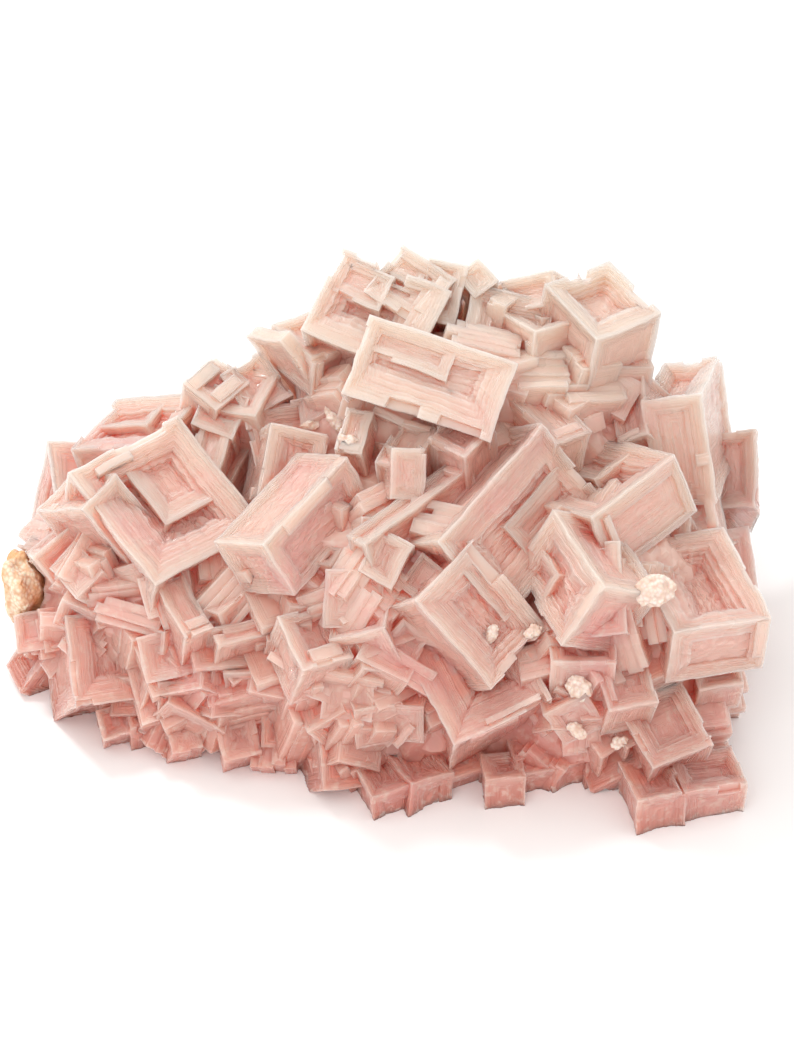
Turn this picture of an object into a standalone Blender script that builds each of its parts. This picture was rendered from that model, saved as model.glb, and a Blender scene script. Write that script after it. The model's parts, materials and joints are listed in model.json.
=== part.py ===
"""Pink halite: one cluster of grown-together hopper cubes, with a tan nodule in its left flank.

The cluster stands on a flat cut at z = 0. Its show side faces -Y and is looked at from LOOK_DISTANCE
away and LOOK_ELEVATION above the horizon, so the large crystals are laid out as they are seen from
there: where a crystal's nearest corner shows, and at which angles its three edges run from that corner.
Sizes are in millimetres and degrees until mesh_object() turns them into metres.
"""

import math
import random
from dataclasses import dataclass

import bmesh
import bpy
import numpy as np
from mathutils import Matrix, Vector

MM = 0.001

# The middle of the finished cluster's footprint, which becomes the model's origin.
ORIGIN = Vector((-0.5, -2.0, 0.0))

# Where the show side is looked at from.
LOOK_ELEVATION = math.radians(40.0)
LOOK_DISTANCE = 450.0
AIM = Vector((0.0, 0.0, 29.2))
TOWARD = Vector((0.0, -math.cos(LOOK_ELEVATION), math.sin(LOOK_ELEVATION)))
RIGHT = Vector((1.0, 0.0, 0.0))
UP = TOWARD.cross(RIGHT)
EYE = AIM + TOWARD * LOOK_DISTANCE

# The stretch of a ray, before and behind the aim point, where it can meet the mass.
NEAREST_REACH = 80.0
FARTHEST_REACH = 40.0
RAY_STEP = 0.5
LOWEST_FOOT = 1.0

# The mass that the crystals grow from: how square its lobes are, and how finely they are faceted.
LOBE_POWER = 2.4
LOBE_SIDES = 16
LOBE_FIRST_SIDE = 0.37
LOBE_RINGS = 5
LOBE_SINK = 5.0
LOBE_FOOT_DEPTH = 8.0

# How a stepped face goes down: its ledges and drops are shares of the face's shorter side.
LEDGE_SHARE = 0.11
DROP_SHARE = 0.10
SIDE_RIM_SHARE = 0.26
WIDEST_RIM_SHARE = 0.30
DEEPEST_PIT_SHARE = 0.45
SIDE_PIT_SHARE = 0.5
STEPS_FOR_SIDE_PITS = 3
NARROWEST_IN_LEDGES = 3.0
SMALLEST_STEPPED_FACE = 5.0

# How deep a laid out crystal is rooted: at least so far behind the mass, at most so much of its width.
SHORTEST_ROOT = 8.0
LONGEST_ROOT_SHARE = 1.1

# Small crystals that nobody has laid out: between the large ones, and all over the back.
FILLER_SEED = 7
FRONT_FILLERS = 30
BACK_CRYSTALS = 24
FILLER_SIZES = {"front": (8.0, 13.0), "back": (13.0, 19.0)}
FILLER_SINK = {"front": 0.40, "back": 0.30}
FILLER_RIM_SHARE = 0.16
FILLER_STRETCH = (0.75, 1.2)
HALF_WIDTH = 71.0

# Where they may stand: how high on a lobe, how far inside another lobe, how near another one and a laid
# out face (as shares of their size), and how far a place must face the show side to count as front.
FILLER_TRIES = 6000
FILLER_HEIGHTS = (0.03, 0.97)
DEEPEST_IN_OTHER_LOBE = 0.05
FILLER_SPACING = 0.62
FILLER_BERTH = 0.25
LEAST_FACING = 0.05

# The nodule: its middle, half sizes, how lumpy it is and its gap to the pocket that it lies in.
NODULE_MIDDLE = Vector((-65.5, 2.0, 16.0))
NODULE_HALF_SIZE = Vector((4.2, 6.0, 7.5))
NODULE_LUMPS = 0.10
NODULE_GAP = 0.35

# Plain colours as linear red, green and blue, and how rough each surface is.
HALITE_COLOR = (0.75, 0.42, 0.34)
HALITE_ROUGHNESS = 0.35
NODULE_COLOR = (0.60, 0.36, 0.17)
NODULE_ROUGHNESS = 0.8

GROUND_SIZE = 400.0


@dataclass(frozen=True)
class Lobe:
    """A rounded lobe of the mass: the middle of its foot, its half sizes, and its turn about Z."""

    x: float
    y: float
    half_width: float
    half_depth: float
    height: float
    turn: float = 0.0

    def spin(self):
        """The lobe's turn as a matrix."""
        return Matrix.Rotation(math.radians(self.turn), 3, "Z")

    def shares(self, point):
        """A point as shares of the lobe's half sizes, along the lobe's own axes."""
        own = self.spin().transposed() @ (point - Vector((self.x, self.y, 0.0)))
        return Vector((own.x / self.half_width, own.y / self.half_depth, own.z / self.height))

    def fill(self, point):
        """Over 0 inside the lobe, 0 on its surface and under 0 outside."""
        return 1.0 - sum(abs(share) ** LOBE_POWER for share in self.shares(point))

    def surface(self, turn, rise, sink=0.0):
        """The point sink under the surface, at a turn about Z and a rise from the foot to the top."""
        share = 2.0 / LOBE_POWER
        ring = math.cos(rise) ** share
        own = Vector((
            (self.half_width - sink) * ring * math.copysign(abs(math.cos(turn)) ** share, math.cos(turn)),
            (self.half_depth - sink) * ring * math.copysign(abs(math.sin(turn)) ** share, math.sin(turn)),
            (self.height - sink) * math.sin(rise) ** share,
        ))
        return self.spin() @ own + Vector((self.x, self.y, 0.0))

    def outward(self, point):
        """The direction out of the lobe at a surface point."""
        slopes = []
        for share, half_size in zip(self.shares(point), (self.half_width, self.half_depth, self.height)):
            slopes.append(math.copysign(abs(share) ** (LOBE_POWER - 1.0), share) / half_size)
        return self.spin() @ Vector(slopes).normalized()


LOBES = (
    Lobe(x=-37.0, y=0.0, half_width=34.0, half_depth=23.0, height=36.0, turn=-30.0),
    Lobe(x=4.0, y=0.0, half_width=38.0, half_depth=35.0, height=45.0),
    Lobe(x=38.0, y=-4.0, half_width=26.0, half_depth=32.0, height=42.0),
    Lobe(x=17.0, y=18.0, half_width=40.0, half_depth=19.0, height=62.0),
)


@dataclass(frozen=True)
class Crystal:
    """A hopper cube, laid out as it is seen from the show side.

    across and up place its nearest corner, right of and above the aim point.
    first, second and third are its edges from that corner, each as (angle seen, length seen). The face
    between first and second is the most deeply stepped one, with a frame of width rim around it.
    proud is how far the middle of that face stands out of the mass.
    """

    name: str
    across: float
    up: float
    first: tuple
    second: tuple
    third: tuple
    proud: float = 2.0
    rim: float = 2.6
    steps: int = 2


SHOW_CRYSTALS = (
    # The ridge along the back, left to right.
    Crystal("back_left_block", -12.0, 31.5, (20, 8.0), (140, 10.0), (265, 7.0), proud=-2.0, steps=1),
    Crystal("back_left_peak", 4.7, 28.6, (63, 17.0), (157, 21.0), (280, 13.0), proud=4.0, rim=3.6, steps=3),
    Crystal("back_mid_peak", 6.3, 37.4, (50, 11.0), (146, 11.5), (275, 11.0), proud=-1.0, rim=2.2),
    Crystal("back_grey_block", 16.5, 42.3, (37, 5.4), (130, 5.4), (264, 9.0), proud=-3.0, steps=1),
    Crystal("back_slab", 22.3, 41.0, (35, 3.6), (155, 3.6), (255, 10.4), proud=-1.0, steps=0),
    Crystal("back_roof", 31.3, 41.0, (189, 11.2), (95, 6.3), (330, 7.0), proud=-2.0, rim=1.4, steps=1),
    Crystal("back_right_peak", 38.5, 35.0, (21, 12.6), (134, 13.7), (258, 11.0), proud=3.0, rim=2.4, steps=3),
    # The shoulder in front of the ridge.
    Crystal("roof_front", 27.4, 36.4, (13, 10.5), (150, 8.1), (265, 5.4), proud=2.0, rim=1.8, steps=1),
    Crystal("crusted_ridge", -18.2, 35.1, (305, 20.7), (45, 2.6), (175, 2.8), proud=3.0, steps=0),
    Crystal("centre_frame", 19.1, 16.7, (70, 15.0), (161, 28.0), (280, 12.0), proud=5.0, rim=2.9, steps=3),
    Crystal("centre_ledge", 1.8, 15.8, (358, 6.1), (160, 5.0), (267, 7.2), proud=1.0, rim=1.2, steps=1),
    Crystal("small_tile", 31.3, 16.2, (20, 6.8), (135, 12.6), (255, 8.1), proud=1.0, rim=1.6),
    Crystal("right_fan", 47.5, 18.0, (95, 11.7), (200, 6.0), (320, 7.0), proud=0.0, rim=1.4, steps=1),
    Crystal("far_right_block", 57.0, 25.2, (186, 10.8), (62, 8.1), (278, 19.8), proud=0.0, rim=2.0),
    Crystal("right_arrow", 37.0, 3.1, (37, 19.4), (164, 18.5), (293, 8.1), proud=4.0, rim=3.4, steps=3),
    # The left lobe.
    Crystal("left_back_frame", -39.8, 16.9, (49, 12.4), (184, 16.2), (295, 9.0), proud=-1.0, rim=2.4),
    Crystal("left_great_frame", -40.7, -8.6, (28, 22.9), (127, 26.0), (262, 10.0), proud=9.0, rim=4.6, steps=4),
    Crystal("left_outer_block", -53.6, 5.0, (310, 22.7), (47, 9.0), (182, 8.3), proud=1.0, rim=2.4),
    Crystal("saddle_block", -23.5, 21.0, (30, 9.0), (125, 9.5), (265, 9.0), proud=1.0, rim=1.6, steps=1),
    Crystal("left_slats", -22.0, 10.4, (12, 15.3), (103, 12.6), (255, 8.0), proud=2.0, rim=2.0),
    Crystal("left_centre_frame", -21.2, -1.4, (47, 22.5), (300, 10.8), (175, 9.0), proud=3.0, rim=3.0),
    # The middle of the show side.
    Crystal("beige_wedge", -3.2, -1.4, (36, 24.3), (155, 3.6), (285, 7.2), proud=2.0, steps=0),
    Crystal("great_frame", 9.7, -0.9, (48, 29.0), (-50, 19.0), (185, 5.6), proud=6.0, rim=4.4, steps=4),
    Crystal("nested_frame", 39.4, -9.0, (123, 16.7), (235, 13.5), (352, 8.0), proud=5.0, rim=2.6, steps=3),
    Crystal("front_arrow", 5.8, -11.7, (47, 15.3), (-49, 21.0), (190, 7.2), proud=4.0, rim=2.8, steps=3),
    Crystal("hanging_tile", -14.4, -23.8, (14, 9.7), (115, 10.8), (250, 3.2), proud=3.0, rim=1.8, steps=1),
    Crystal("right_great_frame", 51.7, -17.5, (9, 18.0), (115, 18.9), (262, 8.0), proud=4.0, rim=3.2, steps=4),
    Crystal("right_slat_frame", 43.6, -17.5, (94, 16.6), (185, 9.2), (330, 7.0), proud=3.0, rim=2.0),
    # The front face, down to the foot.
    Crystal("left_low_block", -54.7, -29.9, (97, 16.2), (5, 10.8), (215, 6.0), proud=2.0, rim=2.6),
    Crystal("front_left_fin", -35.3, -18.0, (20, 5.4), (118, 11.7), (262, 3.6), proud=3.0, rim=1.2, steps=1),
    Crystal("front_left_shelf", -29.5, -19.4, (12, 13.0), (110, 3.6), (262, 4.5), proud=3.0, steps=0),
    Crystal("low_middle_frame", 12.4, -37.4, (25, 19.8), (117, 20.9), (262, 9.0), proud=2.0, rim=3.0, steps=3),
    Crystal("hollow_block", 40.3, -31.5, (10, 9.0), (105, 9.0), (250, 6.0), proud=2.0, rim=1.6),
    Crystal("right_hollow", 56.5, -27.9, (10, 8.1), (105, 7.2), (255, 6.0), proud=2.0, rim=1.4),
    Crystal("right_low_diamond", 47.9, -41.8, (24, 12.2), (118, 12.6), (250, 7.0), proud=3.0, rim=2.2),
    Crystal("right_foot_plate", 45.7, -51.0, (8, 17.1), (115, 8.6), (260, 5.0), proud=5.0, rim=1.8, steps=0),
    Crystal("middle_foot_plate", 18.7, -44.5, (11, 25.7), (118, 8.1), (262, 6.0), proud=-5.0, rim=1.8),
    Crystal("front_foot_plate", -1.1, -50.5, (17, 20.7), (118, 13.3), (265, 6.0), proud=-2.0, rim=2.4, steps=1),
    Crystal("left_foot_plate", -28.0, -41.0, (6, 14.0), (100, 9.0), (255, 6.0), proud=0.0, rim=1.6),
    Crystal("left_foot_cube", -37.4, -41.0, (8, 5.4), (102, 4.8), (255, 4.0), proud=2.0, steps=0),
    Crystal("left_foot_bars", -49.0, -41.0, (12, 10.0), (106, 6.0), (255, 5.0), proud=1.0, rim=1.2, steps=1),
)


def clear_scene():
    """Remove every object that is in the file."""
    for thing in list(bpy.data.objects):
        bpy.data.objects.remove(thing, do_unlink=True)


def principled(name, color, roughness, metallic):
    """A plain Principled material. color is linear red, green and blue."""
    material = bpy.data.materials.new(name)
    material.use_nodes = True
    shader = material.node_tree.nodes["Principled BSDF"]
    shader.inputs["Base Color"].default_value = (*color, 1.0)
    shader.inputs["Roughness"].default_value = roughness
    shader.inputs["Metallic"].default_value = metallic
    return material


def mesh_object(name, mesh):
    """Put a bmesh in millimetres into the file as an object in metres, measured from ORIGIN."""
    mesh.transform(Matrix.Scale(MM, 4) @ Matrix.Translation(-ORIGIN))
    bmesh.ops.recalc_face_normals(mesh, faces=mesh.faces[:])
    data = bpy.data.meshes.new(name)
    mesh.to_mesh(data)
    mesh.free()
    thing = bpy.data.objects.new(name, data)
    bpy.context.scene.collection.objects.link(thing)
    return thing


def ray(across, up):
    """The way from the eye to a point of the view plane, which lies 1 times that way from the eye."""
    return AIM + RIGHT * across + UP * up - EYE


def seen(point):
    """Where a point shows, right of and above the aim point."""
    offset = point - EYE
    reach = LOOK_DISTANCE / -offset.dot(TOWARD)
    return offset.dot(RIGHT) * reach, offset.dot(UP) * reach


def mass_fill(point):
    """Over 0 inside the mass and under 0 outside."""
    return max(lobe.fill(point) for lobe in LOBES)


def mass_distance(across, up):
    """How far along a ray the mass or the ground begins. A ray over the top gives where it passes closest."""
    way = ray(across, up)
    tries = [1.0 + reach / LOOK_DISTANCE for reach in np.arange(-NEAREST_REACH, FARTHEST_REACH, RAY_STEP)]
    for share in tries:
        point = EYE + way * share
        if point.z < LOWEST_FOOT or mass_fill(point) > 0.0:
            return share
    return max(tries, key=lambda share: mass_fill(EYE + way * share))


def square_edges(angles, toward):
    """The directions of a cube's three edges, from the angles at which they show at its nearest corner.

    Gauss's rule for a cube: the squares of its three edges, drawn as complex numbers, add up to nothing.
    So each edge's square share of its length is the sine of twice the angle between the other two.
    """
    right = UP.cross(toward).normalized()
    up = toward.cross(right)
    turns = [math.radians(angle) for angle in angles]
    shares = []
    for index in range(3):
        between = turns[(index + 1) % 3] - turns[(index + 2) % 3]
        shares.append(abs(math.sin(2.0 * between)))
    edges = []
    for turn, share in zip(turns, shares):
        square = 2.0 * share / sum(shares)
        flat = right * math.cos(turn) + up * math.sin(turn)
        edges.append(flat * math.sqrt(square) - toward * math.sqrt(max(1.0 - square, 0.0)))
    return edges


@dataclass
class Block:
    """A hopper cube in space: its nearest corner, its three edges, and how its faces are stepped."""

    corner: Vector
    edges: list
    rim: float
    steps: int

    def middle(self):
        """The middle of the block."""
        return self.corner + sum(self.edges, Vector()) / 2


def laid_out(crystal):
    """The block of a crystal that is laid out as it is seen."""
    laid = (crystal.first, crystal.second, crystal.third)
    middle_across = crystal.across
    middle_up = crystal.up
    for angle, length in laid[:2]:
        middle_across += math.cos(math.radians(angle)) * length / 2
        middle_up += math.sin(math.radians(angle)) * length / 2
    way = ray(crystal.across, crystal.up)
    corner = EYE + way
    edges = []
    for _ in range(2):
        toward = (EYE - corner).normalized()
        reach = (corner - EYE).length / way.length
        edges = []
        for direction, (angle, length) in zip(square_edges([angle for angle, _ in laid], toward), laid):
            shown = math.sqrt(1.0 - direction.dot(toward) ** 2)
            edges.append(direction * (length * reach / shown))
        longest = max(edges[0].length, edges[1].length) * LONGEST_ROOT_SHARE
        root = max(min(edges[2].length, longest), crystal.proud + SHORTEST_ROOT)
        edges[2] = edges[2].normalized() * root
        recess = -(edges[0] + edges[1]).dot(toward) / 2
        front = mass_distance(middle_across, middle_up)
        corner = EYE + way * (front - (recess + crystal.proud) / LOOK_DISTANCE)
    return Block(corner, edges, crystal.rim, crystal.steps)


def turned_block(random_source, middle, outward, size):
    """A block of three unequal sides, turned at random, with one corner pointing roughly outward."""
    axis = Vector([random_source.gauss(0.0, 1.0) for _ in range(3)]).normalized()
    spin = Matrix.Rotation(random_source.uniform(0.0, math.tau), 3, axis)
    edges = []
    for index in range(3):
        direction = spin.col[index].copy()
        if direction.dot(outward) > 0.0:
            direction.negate()
        edges.append(direction * size * random_source.uniform(*FILLER_STRETCH))
    corner = middle - sum(edges, Vector()) / 2
    return Block(corner, edges, size * FILLER_RIM_SHARE, 1)


def covers(block, across, up, margin):
    """Whether one of the block's three near faces shows within margin of a place of the view plane."""
    start = Vector(seen(block.corner))
    offset = Vector((across, up)) - start
    for index in range(3):
        first = Vector(seen(block.corner + block.edges[index])) - start
        second = Vector(seen(block.corner + block.edges[(index + 1) % 3])) - start
        area = first.cross(second)
        along_first = offset.cross(second) / area
        along_second = first.cross(offset) / area
        slack_first = margin / first.length
        slack_second = margin / second.length
        if -slack_first < along_first < 1 + slack_first and -slack_second < along_second < 1 + slack_second:
            return True
    return False


def fillers(show_blocks):
    """Small crystals all over the mass, apart from where they would hide a face that is laid out."""
    random_source = random.Random(FILLER_SEED)
    blocks = []
    wanted = {"front": FRONT_FILLERS, "back": BACK_CRYSTALS}
    for _ in range(FILLER_TRIES):
        if not any(wanted.values()):
            break
        lobe = random_source.choice(LOBES)
        turn = random_source.uniform(0.0, math.tau)
        rise = math.asin(random_source.uniform(*FILLER_HEIGHTS))
        point = lobe.surface(turn, rise)
        outward = lobe.outward(point)
        if any(other is not lobe and other.fill(point) > DEEPEST_IN_OTHER_LOBE for other in LOBES):
            continue
        side = "front" if outward.dot(TOWARD) > LEAST_FACING else "back"
        size = random_source.uniform(*FILLER_SIZES[side])
        if not wanted[side] or abs(point.x) + size / 2 > HALF_WIDTH:
            continue
        if any((point - block.middle()).length < size * FILLER_SPACING for block in blocks):
            continue
        across, up = seen(point)
        if side == "front" and any(covers(block, across, up, size * FILLER_BERTH) for block in show_blocks):
            continue
        middle = point - outward * size * FILLER_SINK[side]
        blocks.append(turned_block(random_source, middle, outward, size))
        wanted[side] -= 1
    return blocks


def step_down(mesh, face, rim, steps, room):
    """Step a face down to its middle: a frame, then ledges, each with a drop to the next.

    room is how deep the steps may go in all, so that they stay clear of the faces behind and beside.
    """
    short = min(edge.calc_length() for edge in face.edges)
    drop = min(short * DROP_SHARE, room / steps)
    ledge = short * LEDGE_SHARE
    rim = min(rim, short * WIDEST_RIM_SHARE)
    into = -face.normal
    for step in range(steps):
        width = rim if step == 0 else ledge
        if short < NARROWEST_IN_LEDGES * width:
            break
        bmesh.ops.inset_individual(mesh, faces=[face], thickness=width, depth=0.0)
        face = bmesh.ops.extrude_discrete_faces(mesh, faces=[face])["faces"][0]
        bmesh.ops.translate(mesh, verts=face.verts[:], vec=into * drop)
        short -= 2 * width


def block_mesh(block):
    """The mesh of one hopper cube."""
    mesh = bmesh.new()
    first, second, third = block.edges
    corners = {}
    for along_first in (0, 1):
        for along_second in (0, 1):
            for along_third in (0, 1):
                place = block.corner + first * along_first + second * along_second + third * along_third
                corners[along_first, along_second, along_third] = mesh.verts.new(place)
    faces = {}
    for axis in range(3):
        for end in (0, 1):
            ring = []
            for one, other in ((0, 0), (1, 0), (1, 1), (0, 1)):
                key = [one, other]
                key.insert(axis, end)
                ring.append(corners[tuple(key)])
            faces[axis, end] = mesh.faces.new(ring)
    bmesh.ops.recalc_face_normals(mesh, faces=mesh.faces[:])
    mesh.normal_update()
    for axis in (2, 0, 1):
        face = faces[axis, 0]
        short = min(edge.calc_length() for edge in face.edges)
        if short < SMALLEST_STEPPED_FACE or not block.steps:
            continue
        depth = block.edges[axis].length
        if axis == 2:
            step_down(mesh, face, block.rim, block.steps, depth * DEEPEST_PIT_SHARE)
        elif block.steps >= STEPS_FOR_SIDE_PITS:
            room = min(depth * DEEPEST_PIT_SHARE, block.rim * SIDE_PIT_SHARE)
            step_down(mesh, face, short * SIDE_RIM_SHARE, 1, room)
    return mesh


def lobe_mesh(lobe):
    """A lobe of the mass, from a little below the ground up to its top."""
    mesh = bmesh.new()
    rings = []
    for ring in range(LOBE_RINGS):
        rise = math.radians(90.0) * ring / LOBE_RINGS
        turns = [math.tau * (side + LOBE_FIRST_SIDE) / LOBE_SIDES for side in range(LOBE_SIDES)]
        rings.append([mesh.verts.new(lobe.surface(turn, rise, LOBE_SINK)) for turn in turns])
    below = [mesh.verts.new(vertex.co - Vector((0.0, 0.0, LOBE_FOOT_DEPTH))) for vertex in rings[0]]
    rings.insert(0, below)
    top = mesh.verts.new(lobe.surface(0.0, math.radians(90.0), LOBE_SINK))
    for lower, upper in zip(rings, rings[1:]):
        for side in range(LOBE_SIDES):
            after = (side + 1) % LOBE_SIDES
            mesh.faces.new((lower[side], lower[after], upper[after], upper[side]))
    for side in range(LOBE_SIDES):
        mesh.faces.new((rings[-1][side], rings[-1][(side + 1) % LOBE_SIDES], top))
    mesh.faces.new(list(reversed(rings[0])))
    return mesh


def nodule_mesh(grow):
    """The lumpy nodule, with its surface moved outward by grow."""
    mesh = bmesh.new()
    bmesh.ops.create_icosphere(mesh, subdivisions=3, radius=1.0)
    for vertex in mesh.verts:
        way = vertex.co.normalized()
        lumps = math.sin(5.0 * way.x + 1.0) * math.sin(6.0 * way.y) + math.sin(4.0 * way.z + 2.0 * way.x)
        size = NODULE_HALF_SIZE * (1.0 + NODULE_LUMPS * lumps) + Vector((grow, grow, grow))
        vertex.co = NODULE_MIDDLE + Vector((way.x * size.x, way.y * size.y, way.z * size.z))
    return mesh


def tool(thing):
    """Mark an object as one that only shapes another."""
    thing.hide_render = True
    thing.display_type = "WIRE"
    return thing


def boolean(thing, name, operation, other=None, others=None):
    """Add a Boolean modifier with one object or a whole collection."""
    modifier = thing.modifiers.new(name, "BOOLEAN")
    modifier.operation = operation
    modifier.solver = "EXACT"
    if others:
        modifier.operand_type = "COLLECTION"
        modifier.collection = others
    else:
        modifier.object = other


def shells(mesh):
    """The separate shells of a mesh, each as a list of its faces."""
    left = set(mesh.faces)
    found = []
    while left:
        shell = []
        queue = [left.pop()]
        while queue:
            face = queue.pop()
            shell.append(face)
            for edge in face.edges:
                for neighbour in edge.link_faces:
                    if neighbour in left:
                        left.remove(neighbour)
                        queue.append(neighbour)
        found.append(shell)
    return found


def shell_volume(faces):
    """The volume inside a shell of triangles, under 0 for a hollow."""
    total = 0.0
    for face in faces:
        first, second, third = (vertex.co for vertex in face.verts)
        total += first.dot(second.cross(third)) / 6.0
    return total


def keep_outer_shell(thing):
    """Apply the object's modifiers, and keep only the largest of its shells."""
    evaluated = thing.evaluated_get(bpy.context.evaluated_depsgraph_get())
    mesh = bmesh.new()
    mesh.from_mesh(evaluated.to_mesh())
    evaluated.to_mesh_clear()
    thing.modifiers.clear()
    bmesh.ops.triangulate(mesh, faces=mesh.faces[:])
    found = sorted(shells(mesh), key=shell_volume)
    for shell in found[:-1]:
        bmesh.ops.delete(mesh, geom=shell, context="FACES")
    mesh.to_mesh(thing.data)
    mesh.free()


def build_cluster():
    """The mass and all its crystals, joined in one solid, cut flat below and hollowed for the nodule."""
    grown = bpy.data.collections.new("grown_together")
    show_blocks = [laid_out(crystal) for crystal in SHOW_CRYSTALS]
    names = [crystal.name for crystal in SHOW_CRYSTALS]
    filler_blocks = fillers(show_blocks)
    names += [f"filler_{index:02d}" for index in range(len(filler_blocks))]
    for name, block in zip(names, show_blocks + filler_blocks):
        grown.objects.link(tool(mesh_object(name, block_mesh(block))))
    lobes = [mesh_object(f"lobe_{index}", lobe_mesh(lobe)) for index, lobe in enumerate(LOBES)]
    for lobe in lobes[1:]:
        grown.objects.link(tool(lobe))
    cluster = lobes[0]
    cluster.name = "halite_cluster"
    boolean(cluster, "grow_together", "UNION", others=grown)

    ground_mesh = bmesh.new()
    bmesh.ops.create_cube(ground_mesh, size=GROUND_SIZE)
    bmesh.ops.translate(ground_mesh, verts=ground_mesh.verts[:], vec=(0.0, 0.0, -GROUND_SIZE / 2))
    boolean(cluster, "flat_cut", "DIFFERENCE", other=tool(mesh_object("ground", ground_mesh)))
    pocket = tool(mesh_object("nodule_pocket", nodule_mesh(NODULE_GAP)))
    boolean(cluster, "nodule_pocket", "DIFFERENCE", other=pocket)
    keep_outer_shell(cluster)
    lobe_names = [lobe.name for lobe in lobes[1:]]
    for name in [*names, *lobe_names, "ground", "nodule_pocket"]:
        bpy.data.objects.remove(bpy.data.objects[name], do_unlink=True)
    cluster.data.materials.append(principled("pink_halite", HALITE_COLOR, HALITE_ROUGHNESS, 0.0))
    return cluster


def build_nodule():
    """The nodule of another mineral that the left flank has grown around."""
    nodule = mesh_object("tan_nodule", nodule_mesh(0.0))
    nodule.data.materials.append(principled("tan_mineral", NODULE_COLOR, NODULE_ROUGHNESS, 0.0))
    return nodule


clear_scene()
build_cluster()
build_nodule()
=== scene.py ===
"""Looks of the pink halite cluster: finely stepped hopper cubes, the tan nodule, salt crust and studio.

The large crystals are laid out as the CAD lays them out: as they are seen from the show side, from one
corner and the angles at which three edges run from it. Sizes are in millimetres until a finished mesh is
moved into the frame, whose unit is the metre.
"""

import json
import logging
import math
import random
from dataclasses import dataclass, field
from enum import Enum

import bmesh
import bpy
import numpy as np
from mathutils import Euler, Matrix, Vector
from mathutils.bvhtree import BVHTree

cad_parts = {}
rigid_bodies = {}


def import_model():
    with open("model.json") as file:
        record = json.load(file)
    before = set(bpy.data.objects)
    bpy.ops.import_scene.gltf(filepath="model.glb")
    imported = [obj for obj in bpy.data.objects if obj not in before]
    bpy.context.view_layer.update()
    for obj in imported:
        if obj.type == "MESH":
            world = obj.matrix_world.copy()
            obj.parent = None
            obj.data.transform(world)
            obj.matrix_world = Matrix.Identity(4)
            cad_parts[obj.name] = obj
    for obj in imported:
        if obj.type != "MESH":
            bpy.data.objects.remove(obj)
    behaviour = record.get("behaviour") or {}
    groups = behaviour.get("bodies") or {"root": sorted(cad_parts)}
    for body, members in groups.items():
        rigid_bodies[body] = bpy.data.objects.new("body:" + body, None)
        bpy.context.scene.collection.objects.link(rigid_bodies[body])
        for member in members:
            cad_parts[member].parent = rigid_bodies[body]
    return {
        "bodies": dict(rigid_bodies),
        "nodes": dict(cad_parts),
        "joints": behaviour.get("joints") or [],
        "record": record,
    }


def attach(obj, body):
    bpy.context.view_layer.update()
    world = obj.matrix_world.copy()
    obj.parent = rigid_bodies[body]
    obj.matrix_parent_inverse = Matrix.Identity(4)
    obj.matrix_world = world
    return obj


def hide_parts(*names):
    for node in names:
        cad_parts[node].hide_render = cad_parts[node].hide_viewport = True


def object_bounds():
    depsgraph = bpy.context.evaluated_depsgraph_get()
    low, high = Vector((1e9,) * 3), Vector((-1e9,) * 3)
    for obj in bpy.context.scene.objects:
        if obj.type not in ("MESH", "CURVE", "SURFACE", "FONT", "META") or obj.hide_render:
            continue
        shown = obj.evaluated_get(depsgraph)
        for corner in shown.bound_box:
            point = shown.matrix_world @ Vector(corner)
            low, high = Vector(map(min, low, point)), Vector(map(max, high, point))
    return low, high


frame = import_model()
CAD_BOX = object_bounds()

# The least and the most of a value that is drawn.
Span = tuple[float, float]

LOG = logging.getLogger("halite")
MM = 0.001

# The middle of the cluster's footprint in the layout's own millimetres: the frame's origin.
ORIGIN = Vector((-0.5, -2.0, 0.0))
TO_FRAME = Matrix.Scale(MM, 4) @ Matrix.Translation(-ORIGIN)


class Side(Enum):
    """Which side of the cluster a filling crystal stands on."""

    SHOW = "show"
    BACK = "back"


class Grain(Enum):
    """What a small lump of another texture is made of."""

    CRUST = "crust"
    BEAD = "bead"


# --------------------------------------------------------------------------------------------------
# Laying out
# --------------------------------------------------------------------------------------------------


@dataclass(frozen=True)
class ShowView:
    """Where the show side is looked at from, in millimetres and radians."""

    elevation: float = math.radians(40.0)
    distance: float = 450.0
    aim: Vector = field(default_factory=lambda: Vector((0.0, 0.0, 29.2)))
    nearest_reach: float = 80.0
    farthest_reach: float = 40.0

    @property
    def toward(self) -> Vector:
        """The direction from the cluster to the eye."""
        return Vector((0.0, -math.cos(self.elevation), math.sin(self.elevation)))

    @property
    def right(self) -> Vector:
        """The direction that shows as right."""
        return Vector((1.0, 0.0, 0.0))

    @property
    def up(self) -> Vector:
        """The direction that shows as up."""
        return self.toward.cross(self.right)

    @property
    def eye(self) -> Vector:
        """The place of the eye."""
        return self.aim + self.toward * self.distance

    def ray(self, across: float, up: float) -> Vector:
        """The way from the eye to a point of the view plane.

        Args:
            across: how far right of the aim point it shows.
            up: how far above the aim point it shows.

        Returns:
            The way, whose whole length ends on the view plane.
        """
        return self.aim + self.right * across + self.up * up - self.eye

    def seen(self, point: Vector) -> tuple[float, float]:
        """Where a point shows, right of and above the aim point."""
        offset = point - self.eye
        reach = self.distance / -offset.dot(self.toward)
        return offset.dot(self.right) * reach, offset.dot(self.up) * reach


VIEW = ShowView()


def draw_direction(source: random.Random) -> Vector:
    """A direction drawn evenly from all."""
    return Vector([source.gauss(0.0, 1.0) for _ in range(3)]).normalized()


def draw_wobble(source: random.Random, spread: float) -> Matrix:
    """A small turn, whose angles spread by so many degrees."""
    return Euler([math.radians(source.gauss(0.0, spread)) for _ in range(3)]).to_matrix()


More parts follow.
